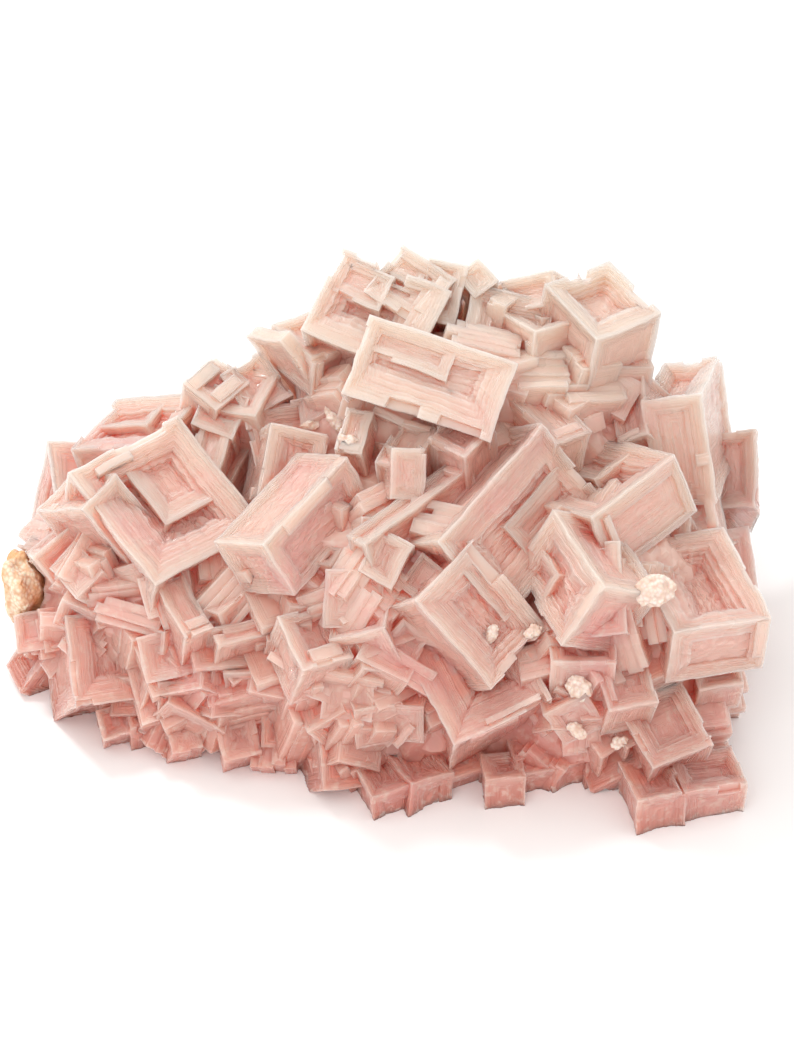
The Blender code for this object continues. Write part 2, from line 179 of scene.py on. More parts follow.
@dataclass(frozen=True)
class Lobe:
    """A rounded lobe of the mass: the middle of its foot, its half sizes, and its turn about Z."""

    x: float
    y: float
    half_width: float
    half_depth: float
    height: float
    turn: float = 0.0
    power: float = 2.4

    def spin(self) -> Matrix:
        """The lobe's turn as a matrix."""
        return Matrix.Rotation(math.radians(self.turn), 3, "Z")

    def shares(self, point: Vector) -> Vector:
        """A point as shares of the lobe's half sizes, along the lobe's own axes."""
        own = self.spin().transposed() @ (point - Vector((self.x, self.y, 0.0)))
        return Vector((own.x / self.half_width, own.y / self.half_depth, own.z / self.height))

    def fill(self, point: Vector) -> float:
        """Over 0 inside the lobe, 0 on its surface and under 0 outside."""
        return 1.0 - sum(abs(share) ** self.power for share in self.shares(point))

    def surface(self, turn: float, rise: float, sink: float = 0.0) -> Vector:
        """A point of the lobe.

        Args:
            turn: the turn about Z, in radians.
            rise: the rise from the foot to the top, in radians.
            sink: how far under the surface.

        Returns:
            The point, in millimetres.
        """
        share = 2.0 / self.power
        ring = math.cos(rise) ** share
        own = Vector((
            (self.half_width - sink) * ring * math.copysign(abs(math.cos(turn)) ** share, math.cos(turn)),
            (self.half_depth - sink) * ring * math.copysign(abs(math.sin(turn)) ** share, math.sin(turn)),
            (self.height - sink) * math.sin(rise) ** share,
        ))
        return self.spin() @ own + Vector((self.x, self.y, 0.0))

    def outward(self, point: Vector) -> Vector:
        """The direction out of the lobe at a surface point."""
        slopes = []
        for share, half_size in zip(self.shares(point), (self.half_width, self.half_depth, self.height)):
            slopes.append(math.copysign(abs(share) ** (self.power - 1.0), share) / half_size)
        return self.spin() @ Vector(slopes).normalized()


LOBES = (
    Lobe(x=-37.0, y=0.0, half_width=34.0, half_depth=23.0, height=36.0, turn=-30.0),
    Lobe(x=4.0, y=0.0, half_width=38.0, half_depth=35.0, height=45.0),
    Lobe(x=38.0, y=-4.0, half_width=26.0, half_depth=32.0, height=42.0),
    Lobe(x=17.0, y=18.0, half_width=40.0, half_depth=19.0, height=62.0),
)


@dataclass(frozen=True)
class Crystal:
    """A hopper cube, laid out as it is seen from the show side.

    across and up place its nearest corner. first, second and third are its edges from that corner, each
    as (angle seen, length seen). proud is how far the middle of the face between first and second stands
    out of the mass. That face is the most deeply stepped one: rim is the width of the frame around it, and
    each of its steps adds two ledges inside the frame.
    """

    name: str
    across: float
    up: float
    first: tuple[float, float]
    second: tuple[float, float]
    third: tuple[float, float]
    proud: float = 2.0
    rim: float = 2.6
    steps: int = 2


SHOW_CRYSTALS = (
    # The ridge along the back, left to right.
    Crystal("back_left_block", -12.0, 31.5, (20, 8.0), (140, 10.0), (265, 7.0), -2.0, 2.6, 1),
    Crystal("back_left_peak", 4.7, 28.6, (63, 17.0), (157, 21.0), (280, 13.0), 4.0, 3.6, 3),
    Crystal("back_mid_peak", 6.3, 37.4, (50, 11.0), (146, 11.5), (275, 11.0), -1.0, 2.2),
    Crystal("back_grey_block", 16.5, 42.3, (37, 5.4), (130, 5.4), (264, 9.0), -3.0, 2.6, 1),
    Crystal("back_slab", 22.3, 41.0, (35, 3.6), (155, 3.6), (255, 10.4), -1.0, 2.6, 0),
    Crystal("back_roof", 31.3, 41.0, (189, 11.2), (95, 6.3), (330, 7.0), -2.0, 1.4, 1),
    Crystal("back_right_peak", 38.5, 35.0, (21, 12.6), (134, 13.7), (258, 11.0), 3.0, 2.4, 3),
    # The shoulder in front of the ridge.
    Crystal("roof_front", 27.4, 36.4, (13, 10.5), (150, 8.1), (265, 5.4), 2.0, 1.8, 1),
    Crystal("crusted_ridge", -18.2, 35.1, (305, 20.7), (45, 2.6), (175, 2.8), 3.0, 2.6, 0),
    Crystal("centre_frame", 19.1, 16.7, (70, 15.0), (161, 28.0), (280, 12.0), 5.0, 2.9, 3),
    Crystal("centre_ledge", 1.8, 15.8, (358, 6.1), (160, 5.0), (267, 7.2), 1.0, 1.2, 1),
    Crystal("small_tile", 31.3, 16.2, (20, 6.8), (135, 12.6), (255, 8.1), 1.0, 1.6),
    Crystal("right_fan", 47.5, 18.0, (95, 11.7), (200, 6.0), (320, 7.0), 0.0, 1.4, 1),
    Crystal("far_right_block", 57.0, 25.2, (186, 10.8), (62, 8.1), (278, 19.8), 0.0, 2.0),
    Crystal("right_arrow", 37.0, 3.1, (37, 19.4), (164, 18.5), (293, 8.1), 4.0, 3.4, 3),
    # The left lobe.
    Crystal("left_back_frame", -39.8, 16.9, (49, 12.4), (184, 16.2), (295, 9.0), -1.0, 2.4),
    Crystal("left_great_frame", -40.7, -8.6, (28, 22.9), (127, 26.0), (262, 10.0), 9.0, 4.6, 4),
    Crystal("left_outer_block", -53.6, 5.0, (310, 22.7), (47, 9.0), (182, 8.3), 1.0, 2.4),
    Crystal("saddle_block", -23.5, 21.0, (30, 9.0), (125, 9.5), (265, 9.0), 1.0, 1.6, 1),
    Crystal("left_slats", -22.0, 10.4, (12, 15.3), (103, 12.6), (255, 8.0), 2.0, 2.0),
    Crystal("left_centre_frame", -21.2, -1.4, (47, 22.5), (300, 10.8), (175, 9.0), 3.0, 3.0),
    # The middle of the show side.
    Crystal("beige_wedge", -3.2, -1.4, (36, 24.3), (155, 3.6), (285, 7.2), 2.0, 2.6, 0),
    Crystal("great_frame", 9.7, -0.9, (48, 29.0), (-50, 19.0), (185, 5.6), 6.0, 4.4, 4),
    Crystal("nested_frame", 39.4, -9.0, (123, 16.7), (235, 13.5), (352, 8.0), 5.0, 2.6, 3),
    Crystal("front_arrow", 5.8, -11.7, (47, 15.3), (-49, 21.0), (190, 7.2), 4.0, 2.8, 3),
    Crystal("hanging_tile", -14.4, -23.8, (14, 9.7), (115, 10.8), (250, 3.2), 3.0, 1.8, 1),
    Crystal("right_great_frame", 51.7, -17.5, (9, 18.0), (115, 18.9), (262, 8.0), 4.0, 3.2, 4),
    Crystal("right_slat_frame", 43.6, -17.5, (94, 16.6), (185, 9.2), (330, 7.0), 3.0, 2.0),
    # The front face, down to the foot.
    Crystal("left_low_block", -54.7, -29.9, (97, 16.2), (5, 10.8), (215, 6.0), 2.0, 2.6),
    Crystal("front_left_fin", -35.3, -18.0, (20, 5.4), (118, 11.7), (262, 3.6), 3.0, 1.2, 1),
    Crystal("front_left_shelf", -29.5, -19.4, (12, 13.0), (110, 3.6), (262, 4.5), 3.0, 2.6, 0),
    Crystal("low_middle_frame", 12.4, -37.4, (25, 19.8), (117, 20.9), (262, 9.0), 2.0, 3.0, 3),
    Crystal("hollow_block", 40.3, -31.5, (10, 9.0), (105, 9.0), (250, 6.0), 2.0, 1.6),
    Crystal("right_hollow", 56.5, -27.9, (10, 8.1), (105, 7.2), (255, 6.0), 2.0, 1.4),
    Crystal("right_low_diamond", 47.9, -41.8, (24, 12.2), (118, 12.6), (250, 7.0), 3.0, 2.2),
    Crystal("right_foot_plate", 45.7, -51.0, (8, 17.1), (115, 8.6), (260, 5.0), 5.0, 1.8, 0),
    Crystal("middle_foot_plate", 18.7, -44.5, (11, 25.7), (118, 8.1), (262, 6.0), -5.0, 1.8),
    Crystal("front_foot_plate", -1.1, -50.5, (17, 20.7), (118, 13.3), (265, 6.0), -2.0, 2.4, 1),
    Crystal("left_foot_plate", -28.0, -41.0, (6, 14.0), (100, 9.0), (255, 6.0), 0.0, 1.6),
    Crystal("left_foot_cube", -37.4, -41.0, (8, 5.4), (102, 4.8), (255, 4.0), 2.0, 2.6, 0),
    Crystal("left_foot_bars", -49.0, -41.0, (12, 10.0), (106, 6.0), (255, 5.0), 1.0, 1.2, 1),
)


# Crystals behind the large ones, which close the outline between them.
OUTLINE_CRYSTALS = (
    Crystal("left_ridge", -22.5, 21.5, (62, 9.0), (172, 10.0), (290, 8.0), 1.0, 1.6, 1),
    Crystal("left_saddle", -29.5, 22.5, (40, 8.0), (140, 8.0), (262, 8.0), 1.0, 1.4, 1),
    Crystal("pink_panel", -22.3, 7.2, (80, 13.5), (-12, 11.0), (215, 6.0), 4.0, 1.6, 1),
    Crystal("saddle_cube", -26.5, 17.5, (66, 8.0), (160, 8.0), (285, 6.0), 5.0, 1.2, 1),
    Crystal("under_roof_left", -3.8, 14.6, (72, 8.0), (170, 5.0), (285, 6.0), 5.0, 1.2, 1),
    Crystal("under_roof_middle", 5.2, 11.6, (58, 9.0), (165, 7.0), (280, 6.0), 5.0, 1.4, 1),
    Crystal("under_roof_right", 14.6, 13.8, (44, 8.0), (150, 8.0), (275, 6.0), 5.0, 1.2, 1),
    Crystal("back_gap_cube", 12.8, 37.5, (76, 11.0), (168, 7.0), (285, 5.0), 0.0, 1.2, 1),
    Crystal("right_edge", 66.5, 5.0, (88, 14.0), (182, 8.0), (310, 7.0), 0.0, 1.4, 0),
    Crystal("right_low_edge", 66.8, -22.0, (84, 10.0), (186, 7.0), (305, 6.0), 0.0, 1.4, 0),
    Crystal("under_wedge", 1.5, -9.5, (62, 9.0), (150, 7.0), (280, 6.0), 2.0, 1.2, 1),
    Crystal("saddle_blade", -30.0, 8.5, (72, 13.0), (168, 6.0), (288, 7.0), 6.0, 1.2, 1),
    Crystal("right_gap_blade", 60.0, 1.0, (98, 9.0), (186, 8.0), (302, 6.0), 3.0, 1.2, 1),
)


@dataclass
class Block:
    """A hopper cube in space: its nearest corner, its three edges, and how its faces are stepped."""

    name: str
    corner: Vector
    edges: list[Vector]
    rim: float = 0.0
    steps: int = 0

    def middle(self) -> Vector:
        """The middle of the block."""
        return self.corner + sum(self.edges, Vector()) / 2

    def top(self) -> float:
        """How high the block reaches."""
        return self.corner.z + sum(max(edge.z, 0.0) for edge in self.edges)

    def sizes(self) -> Vector:
        """The lengths of the three edges."""
        return Vector([edge.length for edge in self.edges])

    def placing(self) -> Matrix:
        """The matrix from the block's own millimetres, with its near corner at 0, to the layout's."""
        columns = [edge.normalized() for edge in self.edges]
        turn = Matrix(columns).transposed().to_4x4()
        return Matrix.Translation(self.corner) @ turn

    def holds(self, point: Vector) -> bool:
        """Whether a point lies inside the block."""
        own = self.placing().inverted() @ point
        return all(0.0 < share < size for share, size in zip(own, self.sizes()))

    def covers(self, across: float, up: float, margin: float) -> bool:
        """Whether one of the three near faces shows within margin of a place of the view plane."""
        start = Vector(VIEW.seen(self.corner))
        offset = Vector((across, up)) - start
        for index in range(3):
            first = Vector(VIEW.seen(self.corner + self.edges[index])) - start
            second = Vector(VIEW.seen(self.corner + self.edges[(index + 1) % 3])) - start
            area = first.cross(second)
            shares = (offset.cross(second) / area, first.cross(offset) / area)
            slacks = (margin / first.length, margin / second.length)
            if all(-slack < share < 1 + slack for share, slack in zip(shares, slacks)):
                return True
        return False


@dataclass(frozen=True)
class Layout:
    """Places every crystal: the ones that are laid out as seen, and those that fill in between.

    The corner of a laid-out crystal is found in placing_rounds: the turn of its edges depends a little on
    where the corner lies. Fillers are drawn on the lobes' surfaces; stretch, rim, sink, spacing and berth
    are shares of their size.
    """

    lowest_foot: float = 1.0
    ray_step: float = 0.5
    placing_rounds: int = 2
    shortest_root: float = 8.0
    longest_root_share: float = 1.1
    filler_seed: int = 7
    front_fillers: int = 30
    back_crystals: int = 24
    filler_sizes: tuple[Span, Span] = ((8.0, 13.0), (13.0, 19.0))
    filler_sinks: tuple[float, float] = (0.40, 0.30)
    filler_rim_share: float = 0.16
    filler_stretch: Span = (0.75, 1.2)
    filler_tries: int = 6000
    filler_heights: Span = (0.03, 0.97)
    filler_depth: float = 0.05
    filler_spacing: float = 0.62
    filler_berth: float = 0.25
    least_facing: float = 0.05
    half_width: float = 71.0
    half_depth: float = 46.0

    def mass_fill(self, point: Vector) -> float:
        """Over 0 inside the mass and under 0 outside."""
        return max(lobe.fill(point) for lobe in LOBES)

    def overgrown(self, point: Vector, lobe: Lobe, depth: float) -> bool:
        """Whether a surface point of one lobe lies deeper than depth, a share, in another."""
        return any(other is not lobe and other.fill(point) > depth for other in LOBES)

    def mass_distance(self, across: float, up: float) -> float:
        """How far along a ray the mass or the ground begins.

        Args:
            across: where the ray shows, right of the aim point.
            up: where the ray shows, above the aim point.

        Returns:
            The share of the ray's way to the view plane. A ray over the top gives where it passes closest.
        """
        way = VIEW.ray(across, up)
        reaches = np.arange(-VIEW.nearest_reach, VIEW.farthest_reach, self.ray_step)
        tries = [1.0 + reach / VIEW.distance for reach in reaches]
        for share in tries:
            point = VIEW.eye + way * share
            if point.z < self.lowest_foot or self.mass_fill(point) > 0.0:
                return share
        return max(tries, key=lambda share: self.mass_fill(VIEW.eye + way * share))

    def square_edges(self, angles: list[float], toward: Vector) -> list[Vector]:
        """The directions of a cube's three edges, from the angles at which they show at its near corner.

        Gauss's rule for a cube: the squares of its edges, drawn as complex numbers, add up to nothing. So
        each edge's square share of its length is the sine of twice the angle between the other two.

        Args:
            angles: the three angles in degrees, counted from the right, upward.
            toward: the direction from the corner to the eye.

        Returns:
            Three unit vectors, each running away from the eye.
        """
        right = VIEW.up.cross(toward).normalized()
        up = toward.cross(right)
        turns = [math.radians(angle) for angle in angles]
        shares = []
        for index in range(3):
            between = turns[(index + 1) % 3] - turns[(index + 2) % 3]
            shares.append(abs(math.sin(2.0 * between)))
        edges = []
        for turn, share in zip(turns, shares):
            square = 2.0 * share / sum(shares)
            flat = right * math.cos(turn) + up * math.sin(turn)
            edges.append(flat * math.sqrt(square) - toward * math.sqrt(max(1.0 - square, 0.0)))
        return edges

    def laid_out(self, crystal: Crystal) -> Block:
        """The block of a crystal that is laid out as it is seen."""
        laid = (crystal.first, crystal.second, crystal.third)
        middle_across = crystal.across
        middle_up = crystal.up
        for angle, length in laid[:2]:
            middle_across += math.cos(math.radians(angle)) * length / 2
            middle_up += math.sin(math.radians(angle)) * length / 2
        way = VIEW.ray(crystal.across, crystal.up)
        corner = VIEW.eye + way
        edges: list[Vector] = []
        for _ in range(self.placing_rounds):
            toward = (VIEW.eye - corner).normalized()
            reach = (corner - VIEW.eye).length / way.length
            edges = []
            for direction, (_, length) in zip(self.square_edges([turn for turn, _ in laid], toward), laid):
                shown = math.sqrt(1.0 - direction.dot(toward) ** 2)
                edges.append(direction * (length * reach / shown))
            longest = max(edges[0].length, edges[1].length) * self.longest_root_share
            root = max(min(edges[2].length, longest), crystal.proud + self.shortest_root)
            edges[2] = edges[2].normalized() * root
            recess = -(edges[0] + edges[1]).dot(toward) / 2
            front = self.mass_distance(middle_across, middle_up)
            corner = VIEW.eye + way * (front - (recess + crystal.proud) / VIEW.distance)
        return Block(crystal.name, corner, edges, crystal.rim, crystal.steps)

    def turned(self, source: random.Random, middle: Vector, outward: Vector, size: float) -> Block:
        """A block of three unequal sides, turned at random, with one corner pointing roughly outward."""
        axis = draw_direction(source)
        spin = Matrix.Rotation(source.uniform(0.0, math.tau), 3, axis)
        edges = []
        for index in range(3):
            direction = spin.col[index].copy()
            if direction.dot(outward) > 0.0:
                direction.negate()
            edges.append(direction * size * source.uniform(*self.filler_stretch))
        corner = middle - sum(edges, Vector()) / 2
        return Block("filler", corner, edges, size * self.filler_rim_share, 1)

    def fillers(self, show_blocks: list[Block]) -> list[Block]:
        """Small crystals all over the mass, apart from where they would hide a face that is laid out."""
        source = random.Random(self.filler_seed)
        blocks: list[Block] = []
        wanted = {Side.SHOW: self.front_fillers, Side.BACK: self.back_crystals}
        for _ in range(self.filler_tries):
            if not any(wanted.values()):
                break
            lobe = source.choice(LOBES)
            turn = source.uniform(0.0, math.tau)
            rise = math.asin(source.uniform(*self.filler_heights))
            point = lobe.surface(turn, rise)
            outward = lobe.outward(point)
            if self.overgrown(point, lobe, self.filler_depth):
                continue
            side = Side.SHOW if outward.dot(VIEW.toward) > self.least_facing else Side.BACK
            index = 0 if side is Side.SHOW else 1
            size = source.uniform(*self.filler_sizes[index])
            if not wanted[side] or abs(point.x) + size / 2 > self.half_width:
                continue
            if any((point - block.middle()).length < size * self.filler_spacing for block in blocks):
                continue
            spot = VIEW.seen(point)
            berth = size * self.filler_berth
            if side is Side.SHOW and any(block.covers(*spot, berth) for block in show_blocks):
                continue
            middle = point - outward * size * self.filler_sinks[index]
            blocks.append(self.turned(source, middle, outward, size))
            wanted[side] -= 1
        return blocks


# --------------------------------------------------------------------------------------------------
# Finishes
# --------------------------------------------------------------------------------------------------


ATTRIBUTE = "ShaderNodeAttribute"
SEPARATE = "ShaderNodeSeparateXYZ"
MATH = "ShaderNodeMath"
RANGE = "ShaderNodeMapRange"
NOISE = "ShaderNodeTexNoise"
MIX = "ShaderNodeMix"
BUMP = "ShaderNodeBump"
SMOOTH = {"interpolation_type": "SMOOTHSTEP"}
ROCK_SALT_IOR = 1.544


def linear(code: str) -> tuple[float, float, float, float]:
    """Turn an sRGB hex colour such as #EAC3B4 into linear red, green, blue and alpha."""
    values = []
    for start in (1, 3, 5):
        share = int(code[start:start + 2], 16) / 255.0
        values.append(share / 12.92 if share <= 0.04045 else ((share + 0.055) / 1.055) ** 2.4)
    return values[0], values[1], values[2], 1.0


def add_node(tree: bpy.types.NodeTree, kind: str, sockets: dict | None = None,
             **settings) -> bpy.types.Node:
    """Add a shader node with its settings and links.

    Args:
        tree: the node tree.
        kind: the node's type.
        sockets: input name or number to a value, to an output socket that is linked to it, or to a node
            whose first output in use is linked to it.
        settings: the node's own properties.

    Returns:
        The new node.
    """
    node = tree.nodes.new(kind)
    for name, value in settings.items():
        setattr(node, name, value)
    for name, value in (sockets or {}).items():
        if isinstance(value, bpy.types.Node):
            value = next(socket for socket in value.outputs if socket.enabled)
        if isinstance(value, bpy.types.NodeSocket):
            tree.links.new(value, node.inputs[name])
        else:
            node.inputs[name].default_value = value
    return node


def principled(name: str, inputs: dict) -> tuple[bpy.types.Material, bpy.types.NodeTree, bpy.types.Node]:
    """Start a material.

    Args:
        name: the material's name.
        inputs: the values that are the same all over it, by input name.

    Returns:
        The material, its node tree and its surface shader.
    """
    material = bpy.data.materials.new(name)
    material.use_nodes = True
    shader = material.node_tree.nodes["Principled BSDF"]
    for socket, value in inputs.items():
        shader.inputs[socket].default_value = value
    return material, material.node_tree, shader


@dataclass(frozen=True)
class GrowthPattern:
    """The output sockets that the halite's colour and relief are both drawn from."""

    place: bpy.types.NodeSocket
    height: bpy.types.NodeSocket
    along: bpy.types.NodeSocket
    recess: bpy.types.NodeSocket
    nearest: bpy.types.Node
    lines: bpy.types.Node
    fine: bpy.types.Node
    patches: bpy.types.Node


@dataclass(frozen=True)
class HaliteFinish:
    """Rock salt, grown in brine: milky and pink from salt-loving microbes caught in its growth layers.

    It is seen into for some millimetres, so light spreads pink inside it, and its thin raised frames look
    whiter. Growth lines run along the nearest edge of each face. A scale is the number of a pattern's
    features in a metre, apart from line_scale and fine_line_scale, which count them in a millimetre.
    """

    # Growth lines, which are 0.1 to 0.5 mm apart: these are 0.55 mm apart, and the fine ones 0.2 mm.
    line_scale: float = 1.8
    fine_line_scale: float = 5.0
    line_roughness: float = 0.6
    line_height: float = 0.0003
    # A line strays by a third of a millimetre or so, over some 6 mm of its length.
    bend_scale: float = 160.0
    bend_reach: float = 0.3
    # Areas of clearer and of milkier salt, about 10 mm across.
    patch_scale: float = 95.0
    # Pinker clouds inside the salt, about 20 mm across.
    cloud_scale: float = 48.0
    # Milky bubbles of brine, which are under 0.5 mm across: drawn coarser, as groups 1.4 mm across.
    fleck_scale: float = 700.0
    # The grain of etched salt, which is about 0.1 mm: drawn coarser, at 0.9 mm.
    grain_scale: float = 1100.0
    grain_height: float = 0.00005
    tone_offset: float = 97.0
    frame_colour: str = "#E8D0C2"
    body_colour: str = "#ECC6B7"
    # Painted shade: pinker and darker in the crystals' hollows.
    painted_hollow_shade_colour: str = "#EDB9AA"
    # Painted glow and shade in the crevices that other crystals close off.
    painted_crevice_glow_colour: str = "#F8AB97"
    # Painted shade, deepening toward the foot.
    painted_foot_shade_colour: str = "#D08477"
    # Painted shade where the cluster meets the floor.
    painted_contact_shade_colour: str = "#C4614F"
    # Painted light on the upper crystals, lit from above.
    painted_top_light_colour: str = "#EBD8C8"
    rose_colour: str = "#E9A7A2"
    grey_colour: str = "#DDC4B9"
    # How white the ridges and the frames look, and where each begins and ends.
    ridge_white: float = 0.52
    ridge_edges: Span = (0.49, 0.6)
    milky_edges: Span = (0.35, 0.6)
    least_milky: float = 0.25
    # frame_white and frame_edges: partly the salt's milkiness, partly painted light on the thin frames.
    frame_white: float = 0.42
    frame_edges: Span = (0.2, 5.0)
    # shallow_edges and hollow_white: painted shade, less white deeper in the hollows.
    shallow_edges: Span = (0.2, 1.0)
    hollow_white: float = 0.45
    fine_share: float = 0.6
    grain_strength: float = 0.8
    gloss_edges: Span = (0.3, 0.7)
    roughness: Span = (0.12, 0.34)
    wet_gloss: float = 0.15
    wet_roughness: float = 0.08
    spread_radius: tuple[float, float, float] = (1.0, 0.9, 0.85)
    spread_scale: float = 0.005

    def pattern(self, tree: bpy.types.NodeTree) -> GrowthPattern:
        """Growth lines: uneven bands along the nearest edge, bent a little by the place."""
        edge_gap = add_node(tree, ATTRIBUTE, attribute_name="edge_gap")
        growth = add_node(tree, ATTRIBUTE, attribute_name="growth")
        place = add_node(tree, "ShaderNodeTexCoord").outputs["Object"]
        placed = add_node(tree, SEPARATE, {0: place})
        distances = add_node(tree, SEPARATE, {0: edge_gap.outputs["Vector"]}).outputs
        recess, tone, _ = add_node(tree, SEPARATE, {0: growth.outputs["Vector"]}).outputs
        nearest = add_node(tree, MATH, {0: distances[0], 1: distances[1]}, operation="MINIMUM")
        nearest = add_node(tree, MATH, {0: nearest, 1: distances[2]}, operation="MINIMUM")
        bend = add_node(tree, NOISE, {"Vector": place, "Scale": self.bend_scale, "Detail": 2.0})
        bent = add_node(tree, MATH, {0: bend, 1: self.bend_reach, 2: nearest}, operation="MULTIPLY_ADD")
        seeded = add_node(tree, MATH, {0: tone, 1: self.tone_offset, 2: bent}, operation="MULTIPLY_ADD")
        bands = []
        for scale in (self.line_scale, self.fine_line_scale):
            sockets = {"W": seeded, "Scale": scale, "Detail": 2.0, "Roughness": self.line_roughness}
            bands.append(add_node(tree, NOISE, sockets, noise_dimensions="1D"))
        patches = add_node(tree, NOISE, {"Vector": place, "Scale": self.patch_scale, "Detail": 3.0})
        return GrowthPattern(place, placed.outputs[2], placed.outputs[0], recess, nearest, *bands, patches)

    def whiteness(self, tree: bpy.types.NodeTree, pattern: GrowthPattern) -> bpy.types.Node:
        """How much whiter the salt looks: along its milky ridges, near a crystal's edges (partly painted
        light), and less in hollows (painted shade).
        """
        start, end = self.milky_edges
        sockets = {0: pattern.patches, 1: start, 2: end, 3: self.least_milky}
        mask = add_node(tree, RANGE, sockets, **SMOOTH)
        start, end = self.ridge_edges
        ridges = add_node(tree, RANGE, {0: pattern.lines, 1: start, 2: end}, **SMOOTH)
        ridges = add_node(tree, MATH, {0: ridges, 1: mask}, operation="MULTIPLY")
        # Near the edges: partly the salt's milkiness, partly painted light where thin frames let light
        # through.
        start, end = self.frame_edges
        frame = add_node(tree, RANGE, {0: pattern.nearest, 1: start, 2: end, 3: self.frame_white, 4: 0.0})
        sockets = {0: ridges, 1: self.ridge_white, 2: frame}
        white = add_node(tree, MATH, sockets, operation="MULTIPLY_ADD")
        # Painted shade: the hollows lose their whiteness with depth.
        start, end = self.shallow_edges
        shallow = add_node(tree, RANGE, {0: pattern.recess, 1: start, 2: end, 3: 1.0, 4: self.hollow_white})
        return add_node(tree, MATH, {0: white, 1: shallow}, operation="MULTIPLY", use_clamp=True)

    def colour(self, tree: bpy.types.NodeTree, pattern: GrowthPattern) -> bpy.types.NodeSocket:
        """Whiter frames and lines, the frames partly as painted light; painted shade that makes the hollows
        pinker and deepens to red toward the foot and the floor; a painted orange-pink glow in the crevices;
        painted light toward the top.
        """
        gap = add_node(tree, ATTRIBUTE, attribute_name="gap").outputs["Fac"]
        clouds = add_node(tree, NOISE, {"Vector": pattern.place, "Scale": self.cloud_scale, "Detail": 1.0})
        flecks = add_node(tree, NOISE, {"Vector": pattern.place, "Scale": self.fleck_scale, "Detail": 3.0})
        # Painted shade: the hollows pinker and darker by their depth.
        sockets = {0: pattern.recess, 6: linear(self.body_colour), 7: linear(self.painted_hollow_shade_colour)}
        mixed = add_node(tree, MIX, sockets, data_type="RGBA")
        sockets = {0: self.whiteness(tree, pattern), 6: mixed, 7: linear(self.frame_colour)}
        mixed = add_node(tree, MIX, sockets, data_type="RGBA")
        # Each tint: what it follows, from where to where, its share at either end, and its colour.
        tints = (
            (clouds, 0.5, 0.72, 0.0, 0.7, self.rose_colour, SMOOTH),
            # Painted shade toward the foot.
            (pattern.height, 0.0, 0.040, 0.7, 0.0, self.painted_foot_shade_colour, {}),
            # Painted shade where the cluster meets the floor.
            (pattern.height, 0.0, 0.006, 0.6, 0.0, self.painted_contact_shade_colour, {}),
            (flecks, 0.52, 0.68, 0.0, 0.45, self.frame_colour, {}),
            (pattern.along, 0.045, 0.07, 0.0, 0.45, self.grey_colour, {}),
            # Painted glow and shade in the crevices, by the gap attribute.
            (gap, 0.35, 0.95, 0.0, 0.75, self.painted_crevice_glow_colour, SMOOTH),
            # Painted light toward the top.
            (pattern.height, 0.036, 0.066, 0.0, 0.65, self.painted_top_light_colour, {}),
        )
        for follows, start, end, first, last, code, settings in tints:
            share = add_node(tree, RANGE, {0: follows, 1: start, 2: end, 3: first, 4: last}, **settings)
            mixed = add_node(tree, MIX, {0: share, 6: mixed, 7: linear(code)}, data_type="RGBA")
        return mixed.outputs[2]

    def relief(self, tree: bpy.types.NodeTree, pattern: GrowthPattern) -> bpy.types.NodeSocket:
        """The ribs of the growth lines, with an etched grain over them."""
        grain = add_node(tree, NOISE, {"Vector": pattern.place, "Scale": self.grain_scale, "Detail": 2.0})
        sockets = {0: pattern.fine, 1: self.fine_share, 2: pattern.lines}
        heights = add_node(tree, MATH, sockets, operation="MULTIPLY_ADD")
        ribs = add_node(tree, BUMP, {"Height": heights, "Distance": self.line_height, "Strength": 1.0})
        sockets = {"Height": grain, "Distance": self.grain_height, "Strength": self.grain_strength}
        return add_node(tree, BUMP, {**sockets, "Normal": ribs}).outputs[0]

    def build(self) -> bpy.types.Material:
        """The material, which reads the cluster's attributes edge_gap, growth and gap."""
        # Light spreads far inside, which gives the milky depth; a thin wet skin gives the sharp glints.
        material, tree, shader = principled("pink_rock_salt", {
            "IOR": ROCK_SALT_IOR,
            "Coat Weight": self.wet_gloss,
            "Coat Roughness": self.wet_roughness,
            "Coat IOR": ROCK_SALT_IOR,
            "Subsurface Weight": 1.0,
            "Subsurface Radius": self.spread_radius,
            "Subsurface Scale": self.spread_scale,
        })
        pattern = self.pattern(tree)
        edges = (*self.gloss_edges, *self.roughness)
        gloss = add_node(tree, RANGE, {0: pattern.patches, **dict(enumerate(edges, start=1))})
        tree.links.new(self.relief(tree, pattern), shader.inputs["Normal"])
        tree.links.new(self.colour(tree, pattern), shader.inputs["Base Color"])
        tree.links.new(gloss.outputs[0], shader.inputs["Roughness"])
        return material


